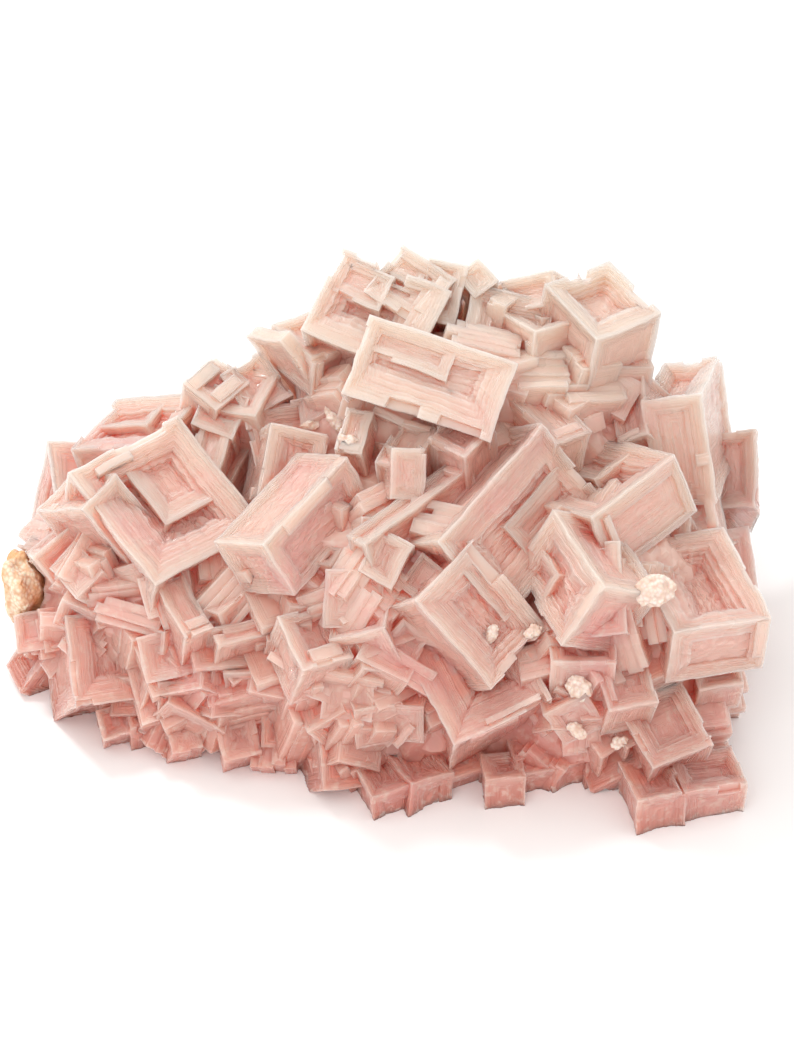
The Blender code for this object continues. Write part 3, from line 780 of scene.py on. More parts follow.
@dataclass(frozen=True)
class LumpFinish:
    """A matt, grainy mineral lump, whose light goes in a little: dry salt crust, or the tan nodule.

    A scale is the number of a pattern's features in a metre.
    """

    name: str
    colour: str
    light_colour: str
    dark_colour: str
    patch_scale: float
    grain_scale: float
    grain_height: float
    roughness: float
    light_edges: Span = (0.4, 0.62)
    hollow_edges: Span = (0.25, 0.8)
    hollow_shade: float = 0.7
    spread_weight: float = 0.3
    spread_radius: tuple[float, float, float] = (1.0, 0.6, 0.4)
    spread_scale: float = 0.001

    def build(self) -> bpy.types.Material:
        """The material."""
        material, tree, shader = principled(self.name, {
            "Roughness": self.roughness,
            "Subsurface Weight": self.spread_weight,
            "Subsurface Radius": self.spread_radius,
            "Subsurface Scale": self.spread_scale,
        })
        place = add_node(tree, "ShaderNodeTexCoord").outputs["Object"]
        patches = add_node(tree, NOISE, {"Vector": place, "Scale": self.patch_scale, "Detail": 4.0})
        grains = add_node(tree, "ShaderNodeTexVoronoi", {"Vector": place, "Scale": self.grain_scale})
        hollows = grains.outputs["Distance"]
        start, end = self.light_edges
        light = add_node(tree, RANGE, {0: patches, 1: start, 2: end}, **SMOOTH)
        sockets = {0: light, 6: linear(self.colour), 7: linear(self.light_colour)}
        colour = add_node(tree, MIX, sockets, data_type="RGBA")
        start, end = self.hollow_edges
        shade = add_node(tree, RANGE, {0: hollows, 1: start, 2: end, 3: 0.0, 4: self.hollow_shade})
        colour = add_node(tree, MIX, {0: shade, 6: colour, 7: linear(self.dark_colour)}, data_type="RGBA")
        bump = add_node(tree, BUMP, {"Height": hollows, "Distance": self.grain_height}, invert=True)
        tree.links.new(bump.outputs[0], shader.inputs["Normal"])
        tree.links.new(colour.outputs[2], shader.inputs["Base Color"])
        return material


@dataclass(frozen=True)
class BeadFinish:
    """Clear rock salt: seen through, with its own bright rim where it bends the light."""

    colour: str = "#FDF3EE"
    roughness: float = 0.06
    clearness: float = 0.9

    def build(self) -> bpy.types.Material:
        """The material."""
        material, _, _ = principled("clear_rock_salt", {
            "Base Color": linear(self.colour),
            "Roughness": self.roughness,
            "IOR": ROCK_SALT_IOR,
            "Transmission Weight": self.clearness,
        })
        return material


# Dry salt crust: crumbs of 0.7 mm in patches of 3 mm, which look like white icing on the pink.
CRUST_FINISH = LumpFinish("dry_salt_crust", "#EFDACB", "#FAEDE2", "#DDB9A6", 300.0, 1400.0, 0.0002, 0.6)
# A tan carbonate crust: grains of 0.8 mm in patches of 5 mm, which look like dry sandy stone.
NODULE_FINISH = LumpFinish("tan_mineral", "#EDB987", "#FCEDD6", "#D79D6C", 190.0, 1300.0, 0.0002, 0.85)


# --------------------------------------------------------------------------------------------------
# Shaping
# --------------------------------------------------------------------------------------------------


# How deep a hollow counts as deepest, as a share of the crystal and at the least, in millimetres.
DEEP_SHARE = 0.22
SMALLEST_DEEP = 0.8
# The distance to the crystal's edges that stands for none, in millimetres.
FAR_FROM_EDGES = 99.0
# A face looks along an axis when its normal's share of that axis is over this.
SQUARE_ON = 0.9
# How near a face's middle is to a wall that it lies in, in millimetres.
ON_WALL = 0.01
# How many ragged edges there are to draw from.
SEEDS = 1000


def deselect() -> None:
    """Leave nothing selected, so that the next operator acts on the next primitive alone."""
    bpy.ops.object.select_all(action="DESELECT")


def add_ball(subdivisions: int) -> bpy.types.Object:
    """Add a ball of radius 1 around 0, to be shaped."""
    deselect()
    bpy.ops.mesh.primitive_ico_sphere_add(subdivisions=subdivisions, radius=1.0)
    return bpy.context.object


def add_cube(middle: Vector, sizes: Vector) -> bpy.types.Object:
    """Add a cube to be shaped, whose own zero is the world's."""
    deselect()
    bpy.ops.mesh.primitive_cube_add(size=1.0, location=middle, scale=sizes)
    bpy.ops.object.transform_apply(location=True, rotation=False, scale=True)
    return bpy.context.object


def divide(cuts: int) -> None:
    """Divide every edge of the new shape, which stays in edit mode with everything selected."""
    bpy.ops.object.mode_set(mode="EDIT")
    bpy.ops.mesh.select_all(action="SELECT")
    if cuts:
        bpy.ops.mesh.subdivide(number_cuts=cuts)


def set_aside(thing: bpy.types.Object) -> bpy.types.Object:
    """Take a shaped piece out of the scene until it is joined with the others, and return it."""
    for collection in list(thing.users_collection):
        collection.objects.unlink(thing)
    return thing


def apply_modifiers(thing: bpy.types.Object) -> None:
    """Apply all of an object's modifiers, in order."""
    bpy.context.view_layer.objects.active = thing
    for modifier in list(thing.modifiers):
        bpy.ops.object.modifier_apply(modifier=modifier.name)


def add_boolean(thing: bpy.types.Object, operation: str,
                other: bpy.types.Collection | bpy.types.Object) -> None:
    """Add a modifier that joins closed shapes to a piece, or cuts them out of it.

    Args:
        thing: the piece.
        operation: UNION or DIFFERENCE.
        other: a shape, or a collection of shapes.
    """
    modifier = thing.modifiers.new("boolean", "BOOLEAN")
    modifier.operation = operation
    modifier.solver = "MANIFOLD"
    if isinstance(other, bpy.types.Collection):
        modifier.operand_type = "COLLECTION"
        modifier.collection = other
    else:
        modifier.object = other


def add_lumps(thing: bpy.types.Object, kind: str, size: float, reach: float, coordinates: str = "GLOBAL",
              level: float = 0.5) -> tuple[bpy.types.Modifier, bpy.types.Texture]:
    """Add a modifier that moves a piece's points along a texture.

    Args:
        thing: the piece.
        kind: the texture's type.
        size: the size of its lumps.
        reach: how far from hollow to lump.
        coordinates: where the texture is placed.
        level: the texture's value that moves nothing.

    Returns:
        The modifier and its texture.
    """
    texture = bpy.data.textures.new("lumps", kind)
    texture.noise_scale = size
    modifier = thing.modifiers.new("lumps", "DISPLACE")
    modifier.texture = texture
    modifier.texture_coords = coordinates
    modifier.strength = reach
    modifier.mid_level = level
    return modifier, texture


def note_on_corners(mesh: bpy.types.Mesh, name: str, values: np.ndarray) -> None:
    """Write a vector attribute on every face corner."""
    mesh.attributes.new(name, "FLOAT_VECTOR", "CORNER").data.foreach_set("vector", values.ravel())


def note_growth(mesh: bpy.types.Mesh, sizes: Vector, tone: float) -> None:
    """Write how far each face corner is from its crystal's edges, how deep it lies, and the crystal's tone.

    Args:
        mesh: the crystal's mesh, in its own millimetres with one corner at 0.
        sizes: the crystal's size.
        tone: a number from 0 to 1 that tells one crystal from the next.
    """
    count = len(mesh.loops)
    places = np.empty(len(mesh.vertices) * 3)
    mesh.vertices.foreach_get("co", places)
    corners = np.empty(count, dtype=int)
    mesh.loops.foreach_get("vertex_index", corners)
    normals = np.empty(len(mesh.polygons) * 3)
    mesh.polygons.foreach_get("normal", normals)
    totals = np.empty(len(mesh.polygons), dtype=int)
    mesh.polygons.foreach_get("loop_total", totals)
    across = np.repeat(np.abs(normals.reshape(-1, 3)).argmax(axis=1), totals)
    places = places.reshape(-1, 3)[corners]
    gaps = np.clip(np.minimum(places, np.array(sizes) - places), 0.0, None)
    recess = np.minimum(gaps.min(axis=1) / max(min(sizes) * DEEP_SHARE, SMALLEST_DEEP), 1.0)
    gaps[np.arange(count), across] = FAR_FROM_EDGES
    growth = np.stack([recess, np.full(count, tone), np.zeros(count)], axis=1)
    note_on_corners(mesh, "edge_gap", gaps)
    note_on_corners(mesh, "growth", growth)


def put_in_place(mesh: bpy.types.Mesh, block: Block) -> None:
    """Move a crystal's mesh from its own millimetres to the layout's, with its faces outward."""
    placing = block.placing()
    mesh.transform(placing)
    if placing.determinant() < 0.0:
        mesh.flip_normals()


@dataclass(frozen=True)
class PlainBar:
    """A plate or bar without hollows: one subdivided cube, which every plate is a stretched copy of."""

    pattern: bpy.types.Object

    @classmethod
    def shaped(cls) -> "PlainBar":
        """Shape the cube that the plates are copies of, with one corner at 0 and edges of 1."""
        edges = Vector((1.0, 1.0, 1.0))
        pattern = add_cube(edges / 2, edges)
        divide(2)
        bpy.ops.object.mode_set(mode="OBJECT")
        return cls(pattern)

    def build(self, block: Block, tone: float) -> bpy.types.Object:
        """A copy of the cube, stretched to a block and moved to its place."""
        sizes = block.sizes()
        mesh = self.pattern.data.copy()
        mesh.transform(Matrix.Diagonal((*sizes, 1.0)))
        note_growth(mesh, sizes, tone)
        put_in_place(mesh, block)
        return bpy.data.objects.new(block.name, mesh)


@dataclass(frozen=True)
class Ledge:
    """One ledge of a stepped face: its width on each of four sides, and the drop inside it."""

    widths: tuple[float, float, float, float]
    drop: float


@dataclass
class HopperCube:
    """One hopper cube, shaped in its own millimetres with its near corner at 0, then moved into place.

    Its deepest hollow is in the wall across its third axis. A lip is a rib of the frame, whose far sides
    are thinner; a ledge is a broad step inside it. Shares are of the face's shorter side, for the notches
    of the crystal's size, and for a lip's drop of the room that the steps have in all.
    """

    block: Block
    source: random.Random
    grid: float = 2.0
    most_cuts: int = 13
    lip_width: Span = (0.35, 0.8)
    lip_drop: Span = (0.08, 0.3)
    far_lips: Span = (0.2, 0.9)
    ledge_share: Span = (0.02, 0.07)
    drop_share: Span = (0.012, 0.06)
    near_arms: Span = (0.8, 1.7)
    far_arms: Span = (0.25, 1.1)
    floor_share: float = 0.2
    deepest_share: float = 0.42
    side_pit_share: float = 0.5
    raggedness: float = 0.22
    smallest_stepped: float = 4.0
    stepped_walls: tuple[int, ...] = (2, 0, 1)
    notches: int = 0
    widest_frame: float = 0.28
    lip_room: float = 0.15
    ledges_inside: int = 4
    side_ledges: int = 3
    side_rim: float = 0.2
    side_depth: float = 0.3
    notch_size: Span = (0.12, 0.38)
    notch_run: Span = (0.15, 1.05)
    notch_side: tuple[float, ...] = (1.0, 1.0, 1.0, 0.0)
    notch_height: Span = (-0.35, 0.1)
    notch_width: Span = (0.15, 0.9)

    def ledges(self, short: float, rim: float, room: float, terraces: int) -> list[Ledge]:
        """Draw the ledges of one face.

        Args:
            short: the face's shorter side.
            rim: the width of its raised frame, which is finely ribbed.
            room: how deep the steps may go in all.
            terraces: how many broad ledges lie inside the frame.

        Returns:
            The ledges, from the outside in.
        """
        draw = self.source.uniform
        ledges = []
        left = short
        depth = 0.0
        reached = 0.0
        thinner = (1.0, 1.0, draw(*self.far_lips), draw(*self.far_lips))
        while reached < min(rim, short * self.widest_frame):
            widths = tuple(draw(*self.lip_width) * share for share in thinner)
            drop = min(draw(*self.lip_drop), room * self.lip_room)
            ledges.append(Ledge(widths, drop))
            reached += (widths[0] + widths[1]) / 2
            left -= max(widths[0] + widths[2], widths[1] + widths[3])
            depth += drop
        for _ in range(terraces):
            base = short * draw(*self.ledge_share)
            near = [base * draw(*self.near_arms) for _ in range(2)]
            far = [base * draw(*self.far_arms) for _ in range(2)]
            widths = (near[0], near[1], far[0], far[1])
            drop = short * draw(*self.drop_share)
            left -= max(widths[0] + widths[2], widths[1] + widths[3])
            if left < short * self.floor_share or depth + drop > room:
                break
            ledges.append(Ledge(widths, drop))
            depth += drop
        return ledges

    def select_wall(self, thing: bpy.types.Object, axis: int) -> None:
        """Select the near wall across an axis, which lies where that axis starts."""
        bpy.ops.mesh.select_all(action="DESELECT")
        mesh = bmesh.from_edit_mesh(thing.data)
        for face in mesh.faces:
            if face.normal[axis] < -SQUARE_ON and abs(face.calc_center_median()[axis]) < ON_WALL:
                face.select_set(True)
        bmesh.update_edit_mesh(thing.data)

    def step_down(self, thing: bpy.types.Object, axis: int, ledges: list[Ledge]) -> None:
        """Step a near wall down, ledge by ledge, with ragged edges."""
        one, other = [index for index in range(3) if index != axis]
        start = Vector((0.0, 0.0, 0.0))
        span = self.block.sizes()
        self.select_wall(thing, axis)
        for ledge in ledges:
            scale = [1.0, 1.0, 1.0]
            scale[one] = 1.0 - (ledge.widths[0] + ledge.widths[2]) / span[one]
            scale[other] = 1.0 - (ledge.widths[1] + ledge.widths[3]) / span[other]
            middle = start + span / 2
            middle[axis] = start[axis]
            shift = Vector((0.0, 0.0, 0.0))
            shift[one] = (ledge.widths[0] - ledge.widths[2]) / 2
            shift[other] = (ledge.widths[1] - ledge.widths[3]) / 2
            bpy.ops.mesh.extrude_region_move()
            bpy.ops.transform.resize(value=scale, center_override=middle)
            bpy.ops.transform.translate(value=shift)
            rag = min(ledge.widths) * self.raggedness
            bpy.ops.transform.vertex_random(offset=rag, uniform=1.0, seed=self.source.randrange(SEEDS))
            down = Vector((0.0, 0.0, 0.0))
            down[axis] = ledge.drop
            bpy.ops.mesh.extrude_region_move(TRANSFORM_OT_translate={"value": down})
            start[one] += ledge.widths[0]
            start[other] += ledge.widths[1]
            start[axis] += ledge.drop
            span[one] *= scale[one]
            span[other] *= scale[other]

    def break_edges(self, thing: bpy.types.Object) -> None:
        """Break cubic notches out of the far arms and the edges, along the crystal's cleavage."""
        sizes = self.block.sizes()
        draw = self.source.uniform
        cutters = bpy.data.collections.new("cleavage")
        for _ in range(self.notches):
            lengths = Vector([size * draw(*self.notch_size) for size in sizes])
            run, beside = self.source.sample((0, 1), 2)
            middle = Vector((0.0, 0.0, 0.0))
            middle[run] = sizes[run] * draw(*self.notch_run)
            middle[beside] = sizes[beside] * self.source.choice(self.notch_side)
            middle[2] = draw(*self.notch_height) * lengths[2]
            lengths[beside] *= draw(*self.notch_width)
            cutters.objects.link(add_cube(middle, lengths))
        if self.notches:
            add_boolean(thing, "DIFFERENCE", cutters)
            apply_modifiers(thing)
        for cutter in list(cutters.objects):
            bpy.data.objects.remove(cutter, do_unlink=True)
        bpy.data.collections.remove(cutters)

    def build(self) -> bpy.types.Object:
        """Shape the crystal.

        Returns:
            Its object, in the layout's millimetres, with growth attributes on its face corners.
        """
        sizes = self.block.sizes()
        thing = add_cube(sizes / 2, sizes)
        thing.name = self.block.name
        divide(min(int(max(sizes) / self.grid), self.most_cuts))
        for axis in self.stepped_walls:
            short = min(sizes[index] for index in range(3) if index != axis)
            if short < self.smallest_stepped:
                continue
            if axis == 2:
                room = sizes[2] * self.deepest_share
                count = self.block.steps * 2 + self.ledges_inside
                ledges = self.ledges(short, self.block.rim, room, count)
            else:
                room = min(sizes[axis] * self.side_depth, self.block.rim * self.side_pit_share)
                ledges = self.ledges(short, short * self.side_rim, room, self.side_ledges)
            self.step_down(thing, axis, ledges)
        bpy.ops.object.mode_set(mode="OBJECT")
        note_growth(thing.data, sizes, self.source.random())
        self.break_edges(thing)
        put_in_place(thing.data, self.block)
        return set_aside(thing)


def keep_in_box(thing: bpy.types.Object) -> None:
    """Bring points that stand a hair outside the CAD model's box back onto it."""
    low, high = CAD_BOX
    for vertex in thing.data.vertices:
        for axis in range(3):
            vertex.co[axis] = min(max(vertex.co[axis], low[axis]), high[axis])


@dataclass
class TanNodule:
    """The lump of another mineral in the cluster's left flank."""

    finish: LumpFinish
    middle: Vector = field(default_factory=lambda: Vector((-65.5, 2.0, 16.0)))
    half_size: Vector = field(default_factory=lambda: Vector((4.2, 6.0, 7.5)))
    lumps: float = 0.10
    sink: float = 0.15
    grains: tuple[tuple[float, float], ...] = ((2.6, 0.9), (0.8, 0.35))
    grain_level: float = 0.75

    def surface(self, way: Vector, grow: float) -> Vector:
        """The nodule's surface in a direction from its middle, moved outward by grow."""
        # A sum of slow waves over the directions, the same as the CAD model's.
        lumps = math.sin(5.0 * way.x + 1.0) * math.sin(6.0 * way.y) + math.sin(4.0 * way.z + 2.0 * way.x)
        size = self.half_size * (1.0 + self.lumps * lumps) + Vector((grow, grow, grow))
        return self.middle + Vector((way.x * size.x, way.y * size.y, way.z * size.z))

    def build(self) -> bpy.types.Object:
        """Build the nodule and dress it, and return it in the frame's metres."""
        nodule = add_ball(6)
        nodule.name = "tan_nodule_grains"
        for vertex in nodule.data.vertices:
            vertex.co = self.surface(vertex.co.normalized(), -self.sink)
        for size, reach in self.grains:
            add_lumps(nodule, "CLOUDS", size, reach, "LOCAL", self.grain_level)
        apply_modifiers(nodule)
        nodule.data.transform(TO_FRAME)
        keep_in_box(nodule)
        nodule.data.shade_smooth()
        nodule.data.materials.append(self.finish.build())
        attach(nodule, "root")
        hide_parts("tan_nodule")
        return nodule


@dataclass(frozen=True)
class SmallCrystals:
    """Lays out what grew on and between the large crystals: bars, splinters, nested cubes and plates.

    Sprouts sit on the large crystals. Splinters are what a low crystal is broken into. A nest is a cube in
    a hollow. The crowd is groups of plates (slats) and small cubes that close the gaps; on the sides and
    the back its places are drawn at random, no nearer to each other than back_pitch.
    """

    layout: Layout
    nodule: TanNodule
    sprouts: int = 50
    sprout_size: Span = (1.2, 3.0)
    sprout_thickness: float = 1.3
    sprout_cube_every: int = 5
    sprout_places: Span = (0.05, 0.95)
    frame_places: tuple[float, ...] = (0.01, 0.05, 0.12, 0.93, 0.99)
    bar_width: Span = (0.8, 2.8)
    bar_length: Span = (4.0, 14.0)
    bar_share: float = 0.7
    bar_height: Span = (0.06, 0.22)
    splinter_size: float = 6.0
    splinter_wobble: float = 8.0
    splinter_run: Span = (1.0, 1.35)
    splinter_width: Span = (0.65, 1.0)
    splinter_sink: Span = (-0.5, 2.5)
    splinter_shift: Span = (0.0, 2.5)
    splinter_rim: float = 0.6
    smallest_nest: float = 11.0
    nest_share: float = 0.6
    nest_size: Span = (0.38, 0.55)
    nest_end: float = 0.93
    nest_sink: Span = (0.15, 0.5)
    nest_depth: float = 0.15
    nest_rim: float = 0.2
    crowd_pitch: float = 5.0
    crowd_rows: Span = (-54.0, 52.0)
    crowd_shift: float = 1.5
    crowd_edge: float = 1.5
    crowd_size: Span = (5.0, 9.5)
    crowd_sink: Span = (0.25, 0.45)
    crowd_depth: float = 1.3
    crowd_wobble: float = 9.0
    crowd_cube_every: int = 4
    cube_stretch: Span = (0.6, 1.1)
    cube_rim: float = 0.14
    slats: tuple[int, int] = (3, 5)
    slat_start: tuple[float, float, float] = (0.5, 0.6, 0.5)
    slat_thickness: Span = (1.0, 2.4)
    slat_overlap: float = 1.15
    slat_length: Span = (1.0, 1.5)
    slat_rise: float = 0.5
    slat_slip: float = 0.8
    slat_step: float = 0.35
    parallel_share: float = 0.65
    back_pitch: float = 6.5
    back_heights: Span = (0.02, 1.0)
    back_depth: float = 0.12
    back_facing: float = 0.3
    most_tries: int = 4000
    side_berth: float = 5.0
    nodule_berth: float = 9.5

    def sprout_blocks(self, blocks: list[Block], source: random.Random) -> list[Block]:
        """Thin bars and small cubes that grew on the large crystals, along their frames."""
        sprouts = []
        for number in range(self.sprouts):
            parent = source.choice(blocks)
            sizes = parent.sizes()
            axis = source.choice((2, 2, 0, 1))
            run, beside = source.sample([index for index in range(3) if index != axis], 2)
            lengths = Vector((0.0, 0.0, 0.0))
            lengths[axis] = self.sprout_thickness
            lengths[beside] = source.uniform(*self.bar_width)
            lengths[run] = min(source.uniform(*self.bar_length), sizes[run] * self.bar_share)
            if number % self.sprout_cube_every == 0:
                lengths[run] = lengths[beside] = source.uniform(*self.sprout_size)
            place = [source.uniform(*self.sprout_places) for _ in range(3)]
            place[beside] = source.choice(self.frame_places)
            own = Vector([place[index] * (sizes[index] - lengths[index]) for index in range(3)])
            own[axis] = -source.uniform(*self.bar_height)
            edges = [parent.edges[index].normalized() * lengths[index] for index in range(3)]
            sprouts.append(Block("sprout", parent.placing() @ own, edges))
        return sprouts

    def splinters(self, block: Block, source: random.Random) -> list[Block]:
        """The parts that a low crystal is broken into across its longer near edge."""
        sizes = block.sizes()
        run = 0 if sizes[0] > sizes[1] else 1
        beside = 1 - run
        count = max(int(sizes[run] / self.splinter_size), 2)
        parts = []
        for index in range(count):
            turn = draw_wobble(source, self.splinter_wobble)
            edges = [turn @ edge for edge in block.edges]
            edges[run] *= source.uniform(*self.splinter_run) / count
            edges[beside] *= source.uniform(*self.splinter_width)
            corner = block.corner + block.edges[run] * (index / count)
            corner += block.edges[2].normalized() * source.uniform(*self.splinter_sink)
            corner += block.edges[beside].normalized() * source.uniform(*self.splinter_shift)
            parts.append(Block("splinter", corner, edges, block.rim * self.splinter_rim, 1))
        return parts

    def nested_blocks(self, blocks: list[Block], source: random.Random) -> list[Block]:
        """Smaller cubes that grew in the far corners of the large ones' hollows, parallel to them."""
        nested = []
        for parent in blocks:
            sizes = parent.sizes()
            if min(sizes[0], sizes[1]) < self.smallest_nest or source.random() > self.nest_share:
                continue
            shares = [source.uniform(*self.nest_size) for _ in range(3)]
            lengths = [size * share for size, share in zip(sizes, shares)]
            own = Vector([(self.nest_end - share) * size for size, share in zip(sizes, shares)])
            own.z = min(parent.rim * source.uniform(*self.nest_sink), sizes.z * self.nest_depth)
            edges = [edge.normalized() * length for edge, length in zip(parent.edges, lengths)]
            rim = min(lengths[0], lengths[1]) * self.nest_rim
            nested.append(Block("nested", parent.placing() @ own, edges, rim, 1))
        return nested

    def clear_of_sides(self, point: Vector) -> bool:
        """Whether a place leaves room to the cluster's side limits and to the nodule."""
        over = max(abs(point.x) - self.layout.half_width, abs(point.y) - self.layout.half_depth)
        return over < -self.side_berth and (point - self.nodule.middle).length > self.nodule_berth

    def bare_places(self, neighbours: list[Block], fillers: list[Block],
                    source: random.Random) -> list[tuple[Vector, Vector]]:
        """Places on the mass with their outward directions: all that show between the large crystals, and
        spread over the sides and the back.

        Args:
            neighbours: the large crystals.
            fillers: the crystals that fill in between them.
            source: what shifts the places.

        Returns:
            The places on the mass's surface, each with the outward direction there.
        """
        places = []
        for across in np.arange(-self.layout.half_width, self.layout.half_width, self.crowd_pitch):
            for up in np.arange(*self.crowd_rows, self.crowd_pitch):
                spot = [row + source.uniform(-self.crowd_shift, self.crowd_shift) for row in (across, up)]
                point = VIEW.eye + VIEW.ray(*spot) * self.layout.mass_distance(*spot)
                lobe = max(LOBES, key=lambda each: each.fill(point))
                covered = any(block.covers(*spot, -self.crowd_edge) for block in neighbours)
                if lobe.fill(point) >= 0.0 and not covered:
                    places.append((point, lobe.outward(point)))
        behind: list[tuple[Vector, Vector]] = []
        for _ in range(self.most_tries):
            lobe = source.choice(LOBES)
            turn = source.uniform(0.0, math.tau)
            point = lobe.surface(turn, math.asin(source.uniform(*self.back_heights)))
            outward = lobe.outward(point)
            hidden = self.layout.overgrown(point, lobe, self.back_depth)
            hidden = hidden or any(block.holds(point) for block in neighbours + fillers)
            crowded = any((point - place).length < self.back_pitch for place, _ in behind)
            if not hidden and not crowded and outward.dot(VIEW.toward) < self.back_facing:
                behind.append((point, outward))
        return [place for place in places + behind if self.clear_of_sides(place[0])]

    def gap_blocks(self, neighbours: list[Block], fillers: list[Block],
                   source: random.Random) -> list[Block]:
        """Groups of thin plates and small cubes over the mass, which close the gaps between the large ones.

        Args:
            neighbours: the large crystals, whose directions most of the small ones nearly follow.
            fillers: the crystals that already fill in between them.
            source: what draws their sizes and turns.

        Returns:
            Their blocks.
        """
        blocks = []
        for number, (point, outward) in enumerate(self.bare_places(neighbours, fillers, source)):
            size = source.uniform(*self.crowd_size)
            middle = point - outward * (size * source.uniform(*self.crowd_sink) + self.crowd_depth)
            nearest = min(neighbours, key=lambda other: (other.middle() - middle).length)
            wobble = draw_wobble(source, self.crowd_wobble)
            directions = [wobble @ edge.normalized() for edge in nearest.edges]
            if source.random() > self.parallel_share:
                block = self.layout.turned(source, middle, outward, size)
                directions = [edge.normalized() for edge in block.edges]
            directions.sort(key=lambda direction: direction.dot(outward))
            deep, thin, run = directions[0], directions[1], directions[2]
            if number % self.crowd_cube_every == 0:
                edges = [axis * size * source.uniform(*self.cube_stretch) for axis in (thin, run, deep)]
                corner = middle - sum(edges, Vector()) / 2
                blocks.append(Block("small_cube", corner, edges, size * self.cube_rim, 1))
                continue
            place = middle.copy()
            for axis, share in zip((thin, run, deep), self.slat_start):
                place -= axis * size * share
            rise = source.uniform(-self.slat_rise, self.slat_rise)
            for _ in range(source.randint(*self.slats)):
                thick = source.uniform(*self.slat_thickness)
                edges = [thin * thick * self.slat_overlap, run * size * source.uniform(*self.slat_length)]
                edges.append(deep * size)
                start = place + run * source.uniform(-self.slat_slip, self.slat_slip)
                start += deep * source.uniform(-self.slat_step, self.slat_step)
                blocks.append(Block("slat", start, edges))
                place += thin * thick + deep * rise
        return blocks


